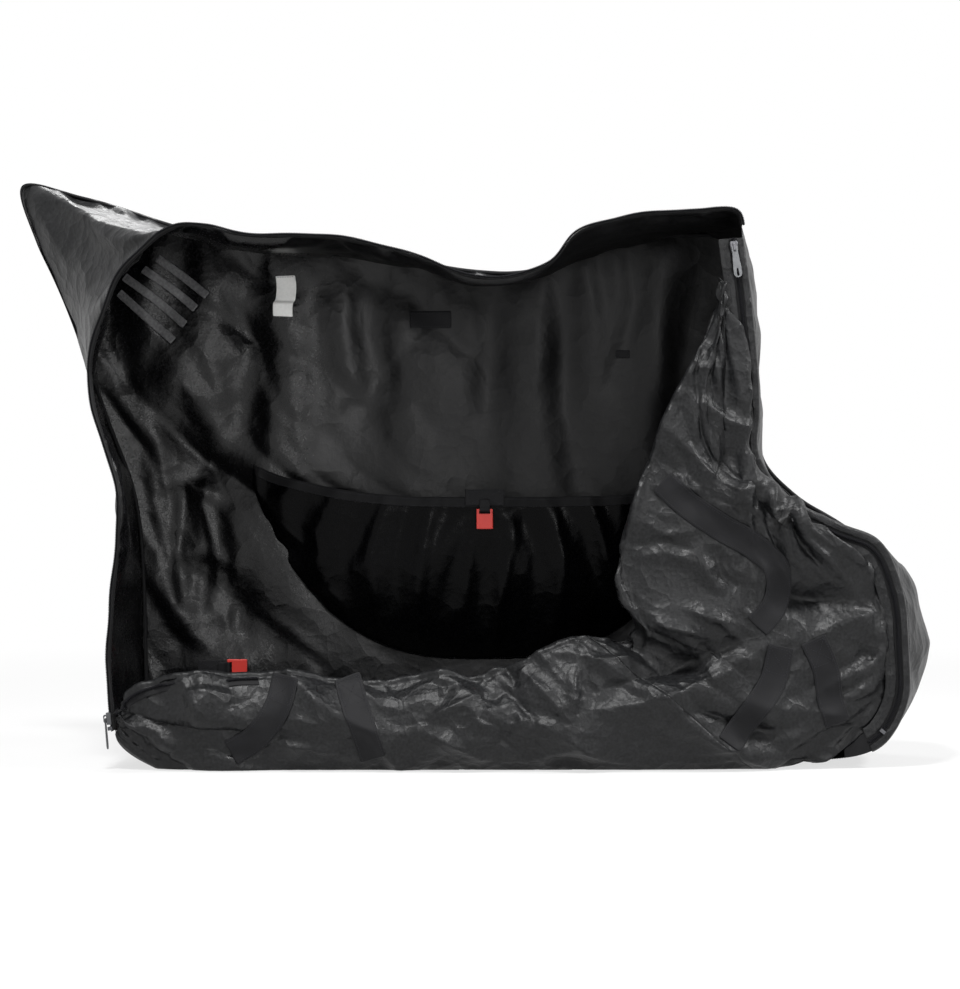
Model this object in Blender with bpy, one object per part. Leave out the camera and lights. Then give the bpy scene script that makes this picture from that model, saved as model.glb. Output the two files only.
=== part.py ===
"""Soft travel bag for a bicycle, standing on its base with the front panel unzipped and folded down.

Lengths are in metres and angles in degrees. +X runs along the bag, the opening faces -Y, and +Z is up.
The origin is the middle of the flat base, on the floor. Every cloth piece is a thin closed solid.
"""

import math

import bpy
import numpy as np
from mathutils import Matrix, Vector
from mathutils.bvhtree import BVHTree
from mathutils.geometry import delaunay_2d_cdt

# Driving dimensions of the whole bag
LENGTH = 1.33
HEIGHT = 0.855
DEPTH = 0.26

# Cloth, webbing and the gap that sewn pieces keep
CLOTH = 0.0016
SEAM_GAP = 0.0004
WEBBING_WIDTH = 0.038
WEBBING_THICKNESS = 0.0016
WEBBING_CLEARANCE = 0.0012
WEBBING_STEP = 0.008

# Zip
TAPE_WIDTH = 0.014
TAPE_THICKNESS = 0.0009
COIL_RADIUS = 0.0023
COIL_INSET = 0.0035
COIL_SIDES = 6
COIL_GAP = 0.0005
STOP_LENGTH = 0.005
STOP_WALL = 0.0012

# Zip slider and pull
SLIDER_LENGTH = 0.017
SLIDER_WIDTH = 0.0115
SLIDER_HEIGHT = 0.0075
SLIDER_RUNNING_GAP = 0.0007
SLIDER_SHOULDER_SHARE = 0.82
BRIDGE_WIDTH = 0.0026
BRIDGE_BAR = 0.0013
BRIDGE_LENGTH = 0.0115
BRIDGE_CLEARANCE = 0.0007
BRIDGE_LEG_SHARE = 1.6
BRIDGE_FLAT_SHARE = 0.7
PULL_THICKNESS = 0.0016
PULL_BAR = 0.0017
PULL_LENGTH = 0.043
PULL_WIDTH = 0.0115
PULL_NECK = 0.0085
PULL_WINDOW_LENGTH = 0.0068
PULL_HOLE_LENGTH = 0.011
PULL_HOLE_WIDTH = 0.0038
PULL_HOLE_TAPER_SHARE = 0.6
PULL_RIM = 0.0019
TOP_SLIDER_STATION = 24.05
BOTTOM_SLIDER_STATION = 1.68
SLIDER_AIM = 0.3
LEFT_STOP_STATION = 1.35
RIGHT_STOP_STATION = 33.95
CLOSED_TOP_STATION = 23.85
CLOSED_FOOT_STATION = 34.20
TAPE_FOOT_STATION = 34.45
OPEN_FOOT_STATION = 1.25
OPEN_TOP_STATION = 23.50
CREST_TAPE_SHARE = 0.15

# Wheel pocket
POCKET_HALF_WIDTH = 0.35
POCKET_CENTRE_X = 0.007
POCKET_HEM_HEIGHT = 0.383
POCKET_LOW_HEIGHT = 0.138
POCKET_END_RISE = 0.050
POCKET_END_DEPTH = 0.035
POCKET_BULGE = 0.050
POCKET_RIGHT_RISE_SHARE = 0.4
POCKET_RIM_POWER = 2.8
POCKET_FULL_POWER = 2.2
HEM_WIDTH = 0.015
HEM_THICKNESS = 0.0012
POCKET_COLUMNS = 27
POCKET_ROWS = 9

# Buckles and their webbing loops
BUCKLE_WIDTH = 0.0245
BUCKLE_LENGTH = 0.030
BUCKLE_THICKNESS = 0.0075
BUCKLE_WALL = 0.0018
BUCKLE_BAR = 0.0030
BUCKLE_SLOT = 0.0046
BUCKLE_SOCKET_DEPTH = 0.015
BUCKLE_WINDOW_LENGTH = 0.007
BUCKLE_ROUND = 0.0012
LOOP_WIDTH = 0.0155
LOOP_THICKNESS = 0.0011
LOOP_CLEARANCE = 0.0005
LOOP_LENGTH = 0.016
LOOP_NECK_SHARE = 1.6
TAB_WIDTH = 0.058
TAB_HEIGHT = 0.024
TAB_THICKNESS = 0.0030
FLOOR_TAB_WIDTH = 0.040
FLOOR_TAB_HEIGHT = 0.022

# Small sewn pieces on the inside of the back panel
TIE_WIDTH = 0.013
TIE_THICKNESS = 0.0015
LABEL_WIDTH = 0.030
LABEL_HEIGHT = 0.062
LABEL_THICKNESS = 0.0008
PATCH_WIDTH = 0.062
PATCH_HEIGHT = 0.026
SMALL_PATCH_WIDTH = 0.021
SMALL_PATCH_HEIGHT = 0.012
PATCH_THICKNESS = 0.0012
GRIP_WIDTH = 0.050
GRIP_THICKNESS = 0.0032

# Front panel: how it folds over its crest and tucks inside
CREST_RADIUS = 0.009
TUCK_LENGTH = 0.075
TUCK_DEPTH = 0.014
HEM_LAP = 0.006
BELLY = 0.040
OVERRUN = 0.004
EDGE_GAP = 0.0008
TUCK_SHARE = 0.6
BELLY_POWER = 0.8
PANEL_LEFT_STATION = 1.10
PANEL_RIGHT_STATION = 24.45
PANEL_BODY_ROWS = 8
STRAP_ROWS = 5
RAMP_START_STATION = 34.25
RAMP_STATIONS = 0.35
GUSSET_ROWS = 5

# Broad folds: ridges that stand out of the back panel, and waves across the left gusset
SWELL_HEIGHT = 0.010
SWELL_HALF_WIDTH = 0.045
SWELL_STATIONS = 5
SWELL_OFFSET_SHARES = (-1, -0.5, 0, 0.5, 1)
SWELL_END_POWER = 0.6
SMALLEST_SPACING = 0.00001
END_FOLD_HEIGHT = 0.009
END_FOLD_COUNT = 3.5
END_FOLD_SLANT = 0.35

# How finely curves are sampled, and the angle over which an edge is drawn sharp
STATION_STEP = 0.036
TURN_STEP = 0.045
SHORTEST_STEP_SHARE = 0.25
NEAR_STATION = 0.02
CURVE_SAMPLES = 1200
SHARP_ANGLE = 40

# The opening's zip line, clockwise as seen from the front: shares of LENGTH, HEIGHT and DEPTH
ZIP_LINE_SHARES = (
    (-0.342, 0.007, -0.48),
    (-0.386, 0.053, -0.48),
    (-0.391, 0.100, -0.48),
    (-0.394, 0.172, -0.49),
    (-0.391, 0.262, -0.50),
    (-0.384, 0.461, -0.50),
    (-0.411, 0.609, -0.50),
    (-0.414, 0.664, -0.50),
    (-0.400, 0.752, -0.49),
    (-0.379, 0.826, -0.48),
    (-0.356, 0.862, -0.48),
    (-0.338, 0.885, -0.48),
    (-0.321, 0.897, -0.48),
    (-0.292, 0.896, -0.50),
    (-0.263, 0.885, -0.50),
    (-0.147, 0.876, -0.50),
    (-0.061, 0.843, -0.48),
    (-0.008, 0.813, -0.46),
    (0.038, 0.815, -0.46),
    (0.075, 0.837, -0.47),
    (0.102, 0.884, -0.49),
    (0.149, 0.908, -0.50),
    (0.231, 0.920, -0.50),
    (0.274, 0.918, -0.50),
    (0.279, 0.870, -0.50),
    (0.290, 0.732, -0.50),
    (0.296, 0.592, -0.49),
    (0.295, 0.523, -0.48),
    (0.325, 0.453, -0.46),
    (0.384, 0.403, -0.44),
    (0.424, 0.377, -0.43),
    (0.450, 0.295, -0.42),
    (0.4565, 0.202, -0.42),
    (0.4545, 0.102, -0.42),
    (0.4355, 0.048, -0.43),
    (0.316, 0.011, -0.48),
    (0.248, 0.000, -0.50),
    (-0.271, 0.000, -0.50),
)

# The back seam beside the same stations, with the gusset's outward crown as a share of DEPTH
BACK_SEAM_SHARES = (
    (-0.331, 0.005, 0.00),
    (-0.372, 0.053, 0.03),
    (-0.380, 0.110, 0.03),
    (-0.382, 0.172, 0.03),
    (-0.383, 0.257, 0.03),
    (-0.395, 0.456, 0.02),
    (-0.425, 0.585, 0.00),
    (-0.445, 0.673, 0.00),
    (-0.466, 0.766, -0.03),
    (-0.485, 0.836, -0.05),
    (-0.504, 0.901, -0.05),
    (-0.520, 0.999, -0.04),
    (-0.451, 0.980, -0.05),
    (-0.344, 0.929, -0.04),
    (-0.271, 0.898, -0.02),
    (-0.150, 0.880, -0.03),
    (-0.060, 0.863, -0.03),
    (-0.008, 0.851, -0.03),
    (0.038, 0.848, -0.03),
    (0.075, 0.857, -0.03),
    (0.113, 0.877, -0.02),
    (0.158, 0.896, 0.00),
    (0.233, 0.915, 0.00),
    (0.278, 0.906, 0.01),
    (0.299, 0.854, 0.02),
    (0.312, 0.725, 0.02),
    (0.316, 0.585, 0.02),
    (0.323, 0.515, 0.00),
    (0.357, 0.456, 0.00),
    (0.410, 0.404, 0.02),
    (0.451, 0.357, 0.04),
    (0.472, 0.287, 0.085),
    (0.477, 0.199, 0.143),
    (0.462, 0.099, 0.06),
    (0.432, 0.035, 0.03),
    (0.338, 0.005, 0.00),
    (0.271, 0.000, 0.00),
    (-0.271, 0.000, 0.00),
)

# Where the shell's pieces are seamed together, as stations of the zip line
GUSSET_JOINTS = {
    "base_gusset": (34.0, 39.2),
    "left_gusset": (1.2, 7.0),
    "corner_gusset": (7.0, 13.0),
    "top_gusset": (13.0, 23.5),
    "right_upper_gusset": (23.5, 27.5),
    "right_lower_gusset": (27.5, 34.0),
}

# Ridges of the back panel: x and z of the upper end, then of the lower end, as shares of LENGTH and HEIGHT
BACK_SWELL_SHARES = (
    (-0.346, 0.655, -0.316, 0.257),
    (-0.282, 0.702, -0.248, 0.561),
    (-0.150, 0.819, -0.098, 0.608),
    (0.015, 0.795, 0.008, 0.585),
    (0.105, 0.842, 0.090, 0.585),
    (0.233, 0.854, 0.226, 0.550),
    (0.414, 0.351, 0.432, 0.164),
)

# How the panel rolls over its crest: shares of CREST_RADIUS upwards and inwards
ROLL_SHARES = ((0.8, 0.5), (1.0, 1.0), (0.6, 1.6), (-0.3, 2.0))

# The slider's plan: a share of its length, then of its width and roof height
SLIDER_PLAN_SHARES = ((-0.5, 0.72), (-0.2, 0.9), (0.25, 1.0), (0.5, 0.86))

# The pull's side, from its bar to its round end: shares of half its width and of its length
PULL_SIDE_SHARES = ((0.74, -0.25), (0.86, -0.45), (1.0, -0.70))

# The front panel's crest, from the lower slider to the upper one: a share of the way along the panel's
# sewn edge, then shares of LENGTH, HEIGHT and DEPTH, then the fullness as a share of BELLY
CREST_SHARES = (
    (0.00, -0.383, 0.094, -0.57, 0.10),
    (0.05, -0.362, 0.138, -0.56, 0.60),
    (0.10, -0.301, 0.153, -0.56, 0.95),
    (0.20, -0.165, 0.161, -0.56, 1.00),
    (0.30, -0.045, 0.166, -0.56, 1.05),
    (0.40, 0.045, 0.181, -0.57, 1.10),
    (0.50, 0.117, 0.226, -0.58, 1.00),
    (0.60, 0.147, 0.281, -0.58, 0.85),
    (0.70, 0.162, 0.427, -0.57, 0.85),
    (0.80, 0.192, 0.567, -0.56, 0.70),
    (0.90, 0.226, 0.702, -0.55, 0.45),
    (1.00, 0.240, 0.800, -0.54, 0.15),
)

# Webbing on the front panel, as shares of LENGTH and HEIGHT along each strap's middle line
FRONT_WEBBING_SHARES = {
    "front_strap_a": ((-0.205, 0.158), (-0.212, 0.110), (-0.236, 0.055), (-0.262, 0.030)),
    "front_strap_b": ((-0.141, 0.155), (-0.131, 0.110), (-0.120, 0.060), (-0.112, 0.020)),
    "front_strap_c": ((0.318, 0.205), (0.308, 0.145), (0.288, 0.100), (0.262, 0.045)),
    "front_strap_d": ((0.352, 0.215), (0.366, 0.165), (0.371, 0.115), (0.379, 0.075)),
    "front_strap_loop": (
        (0.192, 0.475),
        (0.216, 0.440),
        (0.253, 0.400),
        (0.289, 0.368),
        (0.314, 0.328),
        (0.313, 0.275),
        (0.292, 0.236),
    ),
}

# Webbing on the outside of the back panel: the foot and the head of each leg
BACK_WEBBING_SHARES = {
    "back_strap_a": ((-0.262, 0.006), (-0.190, 0.470)),
    "back_strap_b": ((-0.112, 0.006), (-0.150, 0.470)),
    "back_strap_c": ((0.262, 0.006), (0.200, 0.400)),
    "back_strap_d": ((0.379, 0.030), (0.268, 0.400)),
}
BACK_GRIP_SHARES = {
    "back_grip_left": ((-0.198, 0.500), (-0.140, 0.500)),
    "back_grip_right": ((0.188, 0.430), (0.280, 0.430)),
}

# Hook-and-loop ties at the upper left, sewn end first
TIE_SHARES = (
    (-0.366, 0.870, -0.309, 0.803),
    (-0.382, 0.851, -0.322, 0.781),
    (-0.404, 0.838, -0.334, 0.752),
    (-0.410, 0.810, -0.347, 0.724),
)
FLOOR_BUCKLE_PLACE_SHARES = (-0.290, 0.1485)
LABEL_PLACE_SHARES = (-0.221, 0.803)
PATCH_PLACE_SHARES = (-0.056, 0.762)
SMALL_PATCH_PLACE_SHARES = (0.162, 0.701)

# Colour, roughness and metallic value of each material
MATERIALS = {
    "shell_fabric": ((0.022, 0.023, 0.026), 0.55, 0.0),
    "coated_fabric": ((0.010, 0.010, 0.012), 0.42, 0.0),
    "pocket_fabric": ((0.007, 0.007, 0.009), 0.38, 0.0),
    "webbing": ((0.015, 0.015, 0.017), 0.80, 0.0),
    "zip_tape": ((0.012, 0.012, 0.013), 0.75, 0.0),
    "zip_coil": ((0.020, 0.020, 0.022), 0.45, 0.0),
    "zip_metal": ((0.35, 0.35, 0.36), 0.35, 1.0),
    "red_plastic": ((0.62, 0.035, 0.025), 0.40, 0.0),
    "label_satin": ((0.72, 0.72, 0.70), 0.60, 0.0),
}

STATIONS = len(ZIP_LINE_SHARES)
BACK_Y = DEPTH / 2


def clear_scene():
    for thing in list(bpy.data.objects):
        bpy.data.objects.remove(thing, do_unlink=True)


def make_materials():
    made = {}
    for name, (colour, roughness, metallic) in MATERIALS.items():
        material = bpy.data.materials.new(name)
        material.use_nodes = True
        shader = material.node_tree.nodes["Principled BSDF"]
        shader.inputs["Base Color"].default_value = (*colour, 1.0)
        shader.inputs["Roughness"].default_value = roughness
        shader.inputs["Metallic"].default_value = metallic
        made[name] = material
    return made


def add_object(name, points, faces, material):
    """A mesh object from its points and faces, shaded smooth except at sharp edges."""
    mesh = bpy.data.meshes.new(name)
    mesh.from_pydata([tuple(p) for p in points], [], [tuple(f) for f in faces])
    mesh.shade_smooth()
    mesh.set_sharp_from_angle(angle=math.radians(SHARP_ANGLE))
    mesh.materials.append(material)
    thing = bpy.data.objects.new(name, mesh)
    bpy.context.scene.collection.objects.link(thing)
    return thing


# Curves and surfaces


def hermite(rows, at, closed):
    """Smooth curve through the rows: cubic pieces whose slopes weigh each side by its length."""
    rows = np.asarray(rows, float)
    count = len(rows)
    following = np.roll(rows, -1, axis=0) if closed else np.vstack([rows[1:], 2 * rows[-1] - rows[-2]])
    spans = following - rows
    lengths = np.linalg.norm(spans, axis=1)[:, None]
    slopes = spans / lengths
    before, before_length = np.roll(slopes, 1, axis=0), np.roll(lengths, 1, axis=0)
    if not closed:
        before[0], before_length[0] = slopes[0], lengths[0]
    tangents = (before * lengths + slopes * before_length) / (lengths + before_length)
    at = np.mod(at, count) if closed else np.clip(at, 0, count - 1)
    start = np.floor(at).astype(int) % count
    end = (start + 1) % count if closed else np.minimum(start + 1, count - 1)
    f = (at - np.floor(at))[:, None]
    reach = lengths[start]
    return (
        (2 * f**3 - 3 * f**2 + 1) * rows[start]
        + (f**3 - 2 * f**2 + f) * reach * tangents[start]
        + (3 * f**2 - 2 * f**3) * rows[end]
        + (f**3 - f**2) * reach * tangents[end]
    )


def zip_line(at):
    """The gusset's front edge at these stations."""
    x, z, y = (np.array(ZIP_LINE_SHARES) * (LENGTH, HEIGHT, DEPTH)).T
    points = hermite(np.column_stack([x, y, z]), np.asarray(at, float), True)
    points[:, 2] = np.maximum(points[:, 2], 0)
    return points


def back_seam(at):
    """The seam of gusset and back panel at these stations, in the plane of the back panel."""
    x, z, crown = (np.array(BACK_SEAM_SHARES) * (LENGTH, HEIGHT, DEPTH)).T
    points = hermite(np.column_stack([x, np.full(STATIONS, BACK_Y), z]), np.asarray(at, float), True)
    points[:, 2] = np.maximum(points[:, 2], 0)
    return points


def crown_at(at):
    """How far the gusset stands out between its two edges."""
    crown = np.array(BACK_SEAM_SHARES)[:, 2] * DEPTH
    return np.interp(np.mod(at, STATIONS), np.arange(STATIONS + 1), np.append(crown, crown[0]))


def outward(at):
    """Unit vectors in the XZ plane, square to the zip line and away from the opening."""
    along = zip_line(np.asarray(at) + NEAR_STATION) - zip_line(np.asarray(at) - NEAR_STATION)
    normal = np.column_stack([-along[:, 2], np.zeros(len(along)), along[:, 0]])
    return normal / np.linalg.norm(normal, axis=1)[:, None]


def stations_between(first, last):
    """Stations spaced along the zip line, closer on its bends, with the two ends added.

    Every piece takes the same stations, so that neighbours stay parallel.
    """
    fine = np.linspace(0, STATIONS, CURVE_SAMPLES)
    steps = np.linalg.norm(np.diff(zip_line(fine), axis=0), axis=1)
    turns = np.linalg.norm(np.diff(outward(fine), axis=0), axis=1)
    run = np.concatenate([[0], np.cumsum(steps + TURN_STEP * turns)])
    count = int(round(run[-1] / STATION_STEP))
    once = np.interp(np.arange(count) * run[-1] / count, run, fine)
    shared = np.concatenate([once - STATIONS, once, once + STATIONS])
    spacing = SHORTEST_STEP_SHARE * STATION_STEP
    far = spacing / station_length(first), spacing / station_length(last)
    shared = shared[(shared > first + far[0]) & (shared < last - far[1])]
    return np.concatenate([[first], shared, [last]])


def station_length(at):
    """Metres of zip line or back seam to one station, the shorter of the two."""
    ends = [at + NEAR_STATION], [at - NEAR_STATION]
    spans = [np.linalg.norm(edge(ends[0]) - edge(ends[1])) for edge in (zip_line, back_seam)]
    return min(spans) / (2 * NEAR_STATION)


def surface_normals(grid):
    """Unit normals at a grid's points, the mean over the faces that meet there."""
    along, across = np.gradient(grid, axis=1), np.gradient(grid, axis=0)
    normal = np.cross(along, across)
    return normal / np.linalg.norm(normal, axis=2)[:, :, None]


def cloth_solid(name, grid, thickness, material, normals=None):
    """A closed sheet whose outer face is the grid and whose inner face lies a thickness behind it.

    Both faces are split along the same diagonals, so a twisted sheet keeps its thickness.
    """
    rows, columns = grid.shape[:2]
    normals = surface_normals(grid) if normals is None else normals
    inner = grid - normals * thickness
    points = np.vstack([grid.reshape(-1, 3), inner.reshape(-1, 3)])
    index = np.arange(rows * columns).reshape(rows, columns)
    below = index + rows * columns
    faces = []
    for i in range(rows - 1):
        for j in range(columns - 1):
            a, b, c, d = index[i, j], index[i, j + 1], index[i + 1, j + 1], index[i + 1, j]
            faces += [(a, b, c), (a, c, d)]
    faces += [tuple(f + rows * columns for f in face[::-1]) for face in faces]
    rim = list(index[0]) + list(index[1:, -1]) + list(index[-1, -2::-1]) + list(index[-2:0:-1, 0])
    under = list(below[0]) + list(below[1:, -1]) + list(below[-1, -2::-1]) + list(below[-2:0:-1, 0])
    for k in range(len(rim)):
        n = (k + 1) % len(rim)
        faces.append((rim[n], rim[k], under[k], under[n]))
    return add_object(name, points, faces, material)


def tube_solid(name, path, radius, material, side):
    """A round bead along a path, closed at its ends. side holds a vector square to the path at each point."""
    along = np.gradient(path, axis=0)
    along /= np.linalg.norm(along, axis=1)[:, None]
    up = side - along * np.sum(side * along, axis=1)[:, None]
    up /= np.linalg.norm(up, axis=1)[:, None]
    across = np.cross(along, up)
    turn = np.arange(COIL_SIDES) * 2 * math.pi / COIL_SIDES
    ring = up[:, None] * np.cos(turn)[:, None] + across[:, None] * np.sin(turn)[:, None]
    points = (path[:, None] + radius * ring).reshape(-1, 3)
    faces = []
    for i in range(len(path) - 1):
        for k in range(COIL_SIDES):
            n = (k + 1) % COIL_SIDES
            a, b = i * COIL_SIDES, (i + 1) * COIL_SIDES
            faces.append((a + k, a + n, b + n, b + k))
    faces.append(tuple(range(COIL_SIDES))[::-1])
    faces.append(tuple(range(len(points) - COIL_SIDES, len(points))))
    return add_object(name, points, faces, material)


def slab(name, outline, y_front, y_rear, material):
    """A flat sheet in the XZ plane: the outline, anticlockwise from the front, between two depths."""
    count = len(outline)
    front = [(x, y_front, z) for x, z in outline]
    rear = [(x, y_rear, z) for x, z in outline]
    faces = [tuple(range(count)), tuple(range(2 * count - 1, count - 1, -1))]
    faces += [(k, count + k, count + (k + 1) % count, (k + 1) % count) for k in range(count)]
    return add_object(name, front + rear, faces, material)


# Shell: base, ends, top and back


def gusset(name, first, last, material):
    """A piece of the band between the zip line and the back seam, trimmed by half a seam gap at its ends."""
    first += SEAM_GAP / 2 / station_length(first)
    last -= SEAM_GAP / 2 / station_length(last)
    at = stations_between(first, last)
    grid = gusset_face(at)
    along = gusset_face(at + NEAR_STATION) - gusset_face(at - NEAR_STATION)
    normals = np.cross(along, np.gradient(grid, axis=0))
    return cloth_solid(name, grid, CLOTH, material, squared(normals, [0, -1]))


def squared(normals, rows):
    """The normals, with those of some rows turned square to Y so that these edges end flat."""
    normals = normals.copy()
    normals[rows, :, 1] = 0
    return normals / np.linalg.norm(normals, axis=2)[:, :, None]


def gusset_face(at):
    """The gusset's outer face at these stations, from the zip line back to the seam."""
    front, rear = zip_line(at), back_seam(at)
    rear[:, 1] -= SEAM_GAP
    w = np.linspace(0, 1, GUSSET_ROWS)[:, None, None]
    stand_out = crown_at(at)[None, :, None] + end_folds(at, front, w)
    bow = np.sin(math.pi * w) * stand_out * outward(at)[None]
    grid = front[None] * (1 - w) + rear[None] * w + bow
    grid[:, :, 2] = np.maximum(grid[:, :, 2], 0)
    return grid


def end_folds(at, front, w):
    """How far the left gusset's slanting folds stand out, from none at its two ends to most half way up."""
    first, last = GUSSET_JOINTS["left_gusset"]
    low, high = zip_line([first])[0, 2], zip_line([last])[0, 2]
    station = np.mod(at, STATIONS)
    share = np.where((station > first) & (station < last), (front[:, 2] - low) / (high - low), 0)
    share = np.clip(share, 0, 1)[None, :, None]
    wave = np.sin(2 * math.pi * (END_FOLD_COUNT * share + END_FOLD_SLANT * w))
    return END_FOLD_HEIGHT * np.sin(math.pi * share) * wave


def back_swells():
    """Points of X and Z on each ridge and beside it, and how far the back panel stands out there."""
    points, heights = [], []
    for shares in BACK_SWELL_SHARES:
        upper, lower = np.reshape(shares, (2, 2)) * (LENGTH, HEIGHT)
        along = (lower - upper) / np.linalg.norm(lower - upper)
        side = np.array([along[1], -along[0]]) * SWELL_HALF_WIDTH
        for share in np.linspace(0, 1, SWELL_STATIONS):
            ridge = SWELL_HEIGHT * max(math.sin(math.pi * share), 0) ** SWELL_END_POWER
            for offset in SWELL_OFFSET_SHARES:
                points.append(upper + (lower - upper) * share + side * offset)
                heights.append(ridge * math.cos(math.pi * offset / 2) ** 2)
    return np.array(points), np.array(heights)


def make_back_panel(material):
    """One sheet inside the seam, split into triangles between the seam and the points of its ridges."""
    outline = back_seam(stations_between(0, STATIONS)[:-1])[::-1][:, [0, 2]]
    inside, heights = back_swells()
    flat = [Vector(point) for point in np.vstack([outline, inside])]
    edges = [(k, (k + 1) % len(outline)) for k in range(len(outline))]
    places, _, triangles, came_from, *_ = delaunay_2d_cdt(flat, edges, [], 1, SMALLEST_SPACING)
    depths = np.concatenate([np.zeros(len(outline)), heights])
    count = len(places)
    stand_out = [BACK_Y + depths[sources[0]] for sources in came_from]
    front = [(place.x, y, place.y) for place, y in zip(places, stand_out)]
    rear = [(x, y + CLOTH, z) for x, y, z in front]
    faces = [tuple(face) for face in triangles]
    faces += [tuple(k + count for k in face[::-1]) for face in triangles]
    made = {source: k for k, sources in enumerate(came_from) for source in sources}
    for k, n in edges:
        faces.append((made[k], count + made[k], count + made[n], made[n]))
    add_object("back_panel", front + rear, faces, material)


def make_shell(materials):
    shell = materials["shell_fabric"]
    for name, (first, last) in GUSSET_JOINTS.items():
        gusset(name, first, last, shell)
    make_back_panel(materials["coated_fabric"])


# Front panel


def zip_width_share(at):
    """1 where the closed zip lies between panel and gusset, down to 0 where it has run out in the base seam."""
    station = np.mod(at, STATIONS)
    ramp = 1 - np.clip((station - RAMP_START_STATION) / RAMP_STATIONS, 0, 1)
    return ramp * (station >= CLOSED_TOP_STATION)


def sewn_edge(at):
    """The front panel's sewn edge: on the base's front seam, and inside the closed zip at the right."""
    closed_share = zip_width_share(at)
    inset = closed_share * (2 * TAPE_WIDTH + EDGE_GAP)
    points = zip_line(at) - outward(at) * inset[:, None]
    points[:, 1] -= SEAM_GAP
    lap = -outward(at) * closed_share[:, None] + np.array([0, -1, 0]) * (1 - closed_share)[:, None]
    return points, lap / np.linalg.norm(lap, axis=1)[:, None]


def panel_stations():
    """The panel's stations, from the lower slider round to the upper one, and their share of the way."""
    at = stations_between(PANEL_RIGHT_STATION - STATIONS, PANEL_LEFT_STATION)[::-1]
    edge = sewn_edge(at)[0]
    run = np.concatenate([[0], np.cumsum(np.linalg.norm(np.diff(edge, axis=0), axis=1))])
    return at, run / run[-1]


def front_panel_grid():
    """The panel's outer face: from its sewn edge over the belly, round the crest and down inside."""
    at, share = panel_stations()
    edge, lap = sewn_edge(at)
    knots = np.array(CREST_SHARES)
    row = np.interp(share, knots[:, 0], np.arange(len(knots)))
    crest = hermite(knots[:, [1, 3, 2]] * (LENGTH, DEPTH, HEIGHT), row, False)
    fullness = np.interp(share, knots[:, 0], knots[:, 4])[:, None] * BELLY
    lapped = edge + lap * HEM_LAP
    rise = (crest - lapped) * (1, 0, 1)
    reach = np.linalg.norm(rise, axis=1)[:, None]
    rise /= reach
    forward = np.array([0, -1, 0])
    rows = [edge, lapped]
    for v in np.linspace(0, 1, PANEL_BODY_ROWS)[1:-1]:
        bulge = fullness * math.sin(math.pi * v) ** BELLY_POWER
        rows.append(lapped + (crest - lapped) * v + forward * bulge)
    rows.append(crest)
    for up, inward in ROLL_SHARES:
        rows.append(crest + (rise * up - forward * inward) * CREST_RADIUS)
    tuck = np.minimum(TUCK_LENGTH, TUCK_SHARE * reach)
    rows.append(crest - rise * tuck - forward * (CREST_RADIUS * 2 + TUCK_DEPTH))
    grid = np.array(rows)
    grid[:, :, 2] = np.maximum(grid[:, :, 2], 0)
    return grid


def make_front_panel(materials):
    grid = front_panel_grid()
    panel = cloth_solid("front_panel", grid, CLOTH, materials["shell_fabric"])
    tucked_tape(grid, materials)
    share = panel_stations()[1]
    crest_tape(grid[:, share < CREST_TAPE_SHARE], materials)
    return panel


def crest_tape(grid, materials):
    """The end of the panel's zip tape, which still shows below the crest at the left, and its coil."""
    row = PANEL_BODY_ROWS
    normal = surface_normals(grid[: row + 1])[-1, 1:]
    crest = grid[row, 1:] + normal * (EDGE_GAP + TAPE_THICKNESS)
    down = grid[row - 1, 1:] - grid[row, 1:]
    down /= np.linalg.norm(down, axis=1)[:, None]
    tape = np.array([crest + down * TAPE_WIDTH, crest + down * SEAM_GAP])
    cloth_solid("zip_tape_panel_end", tape, TAPE_THICKNESS, materials["zip_tape"])
    path = crest + down * COIL_INSET + normal * (COIL_RADIUS + COIL_GAP)
    tube_solid("zip_coil_panel_end", path, COIL_RADIUS, materials["zip_coil"], normal)


def tucked_tape(grid, materials):
    """The panel's own zip tape, which goes inside with the tucked edge, and its coil."""
    inside = grid[:, 5:-3]
    end = inside[-1]
    onward = end - inside[-2]
    onward /= np.linalg.norm(onward, axis=1)[:, None]
    near = end + onward * SEAM_GAP
    far = end + onward * (SEAM_GAP + TAPE_WIDTH)
    tape = np.array([near, far])
    cloth_solid("zip_tape_panel_tucked", tape, TAPE_THICKNESS, materials["zip_tape"])
    normal = surface_normals(tape)[1]
    middle = end + onward * (SEAM_GAP + TAPE_WIDTH - COIL_INSET)
    path = middle + normal * (COIL_RADIUS + COIL_GAP)
    tube_solid("zip_coil_panel_tucked", path, COIL_RADIUS, materials["zip_coil"], normal)


def surface_tree(thing):
    mesh = thing.data
    return BVHTree.FromPolygons([v.co for v in mesh.vertices], [p.vertices for p in mesh.polygons])


def lay_on(tree, x, z, lift):
    """The point of a surface that is seen from the front at x and z, lifted off it, and its normal."""
    start = Vector((x, -DEPTH, z))
    place, normal, _, _ = tree.ray_cast(start, Vector((0, 1, 0)))
    if place is None:
        place, normal, _, _ = tree.find_nearest(Vector((x, -DEPTH / 2, z)))
    return np.array(place + normal * lift), np.array(normal)


def resample(path, step):
    """Points a step apart on the smooth curve through the path's points."""
    fine = hermite(path, np.linspace(0, len(path) - 1, CURVE_SAMPLES), False)
    run = np.concatenate([[0], np.cumsum(np.linalg.norm(np.diff(fine, axis=0), axis=1))])
    count = int(round(run[-1] / step)) + 2
    at = np.linspace(0, run[-1], count)
    return np.column_stack([np.interp(at, run, fine[:, k]) for k in range(fine.shape[1])])


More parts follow.
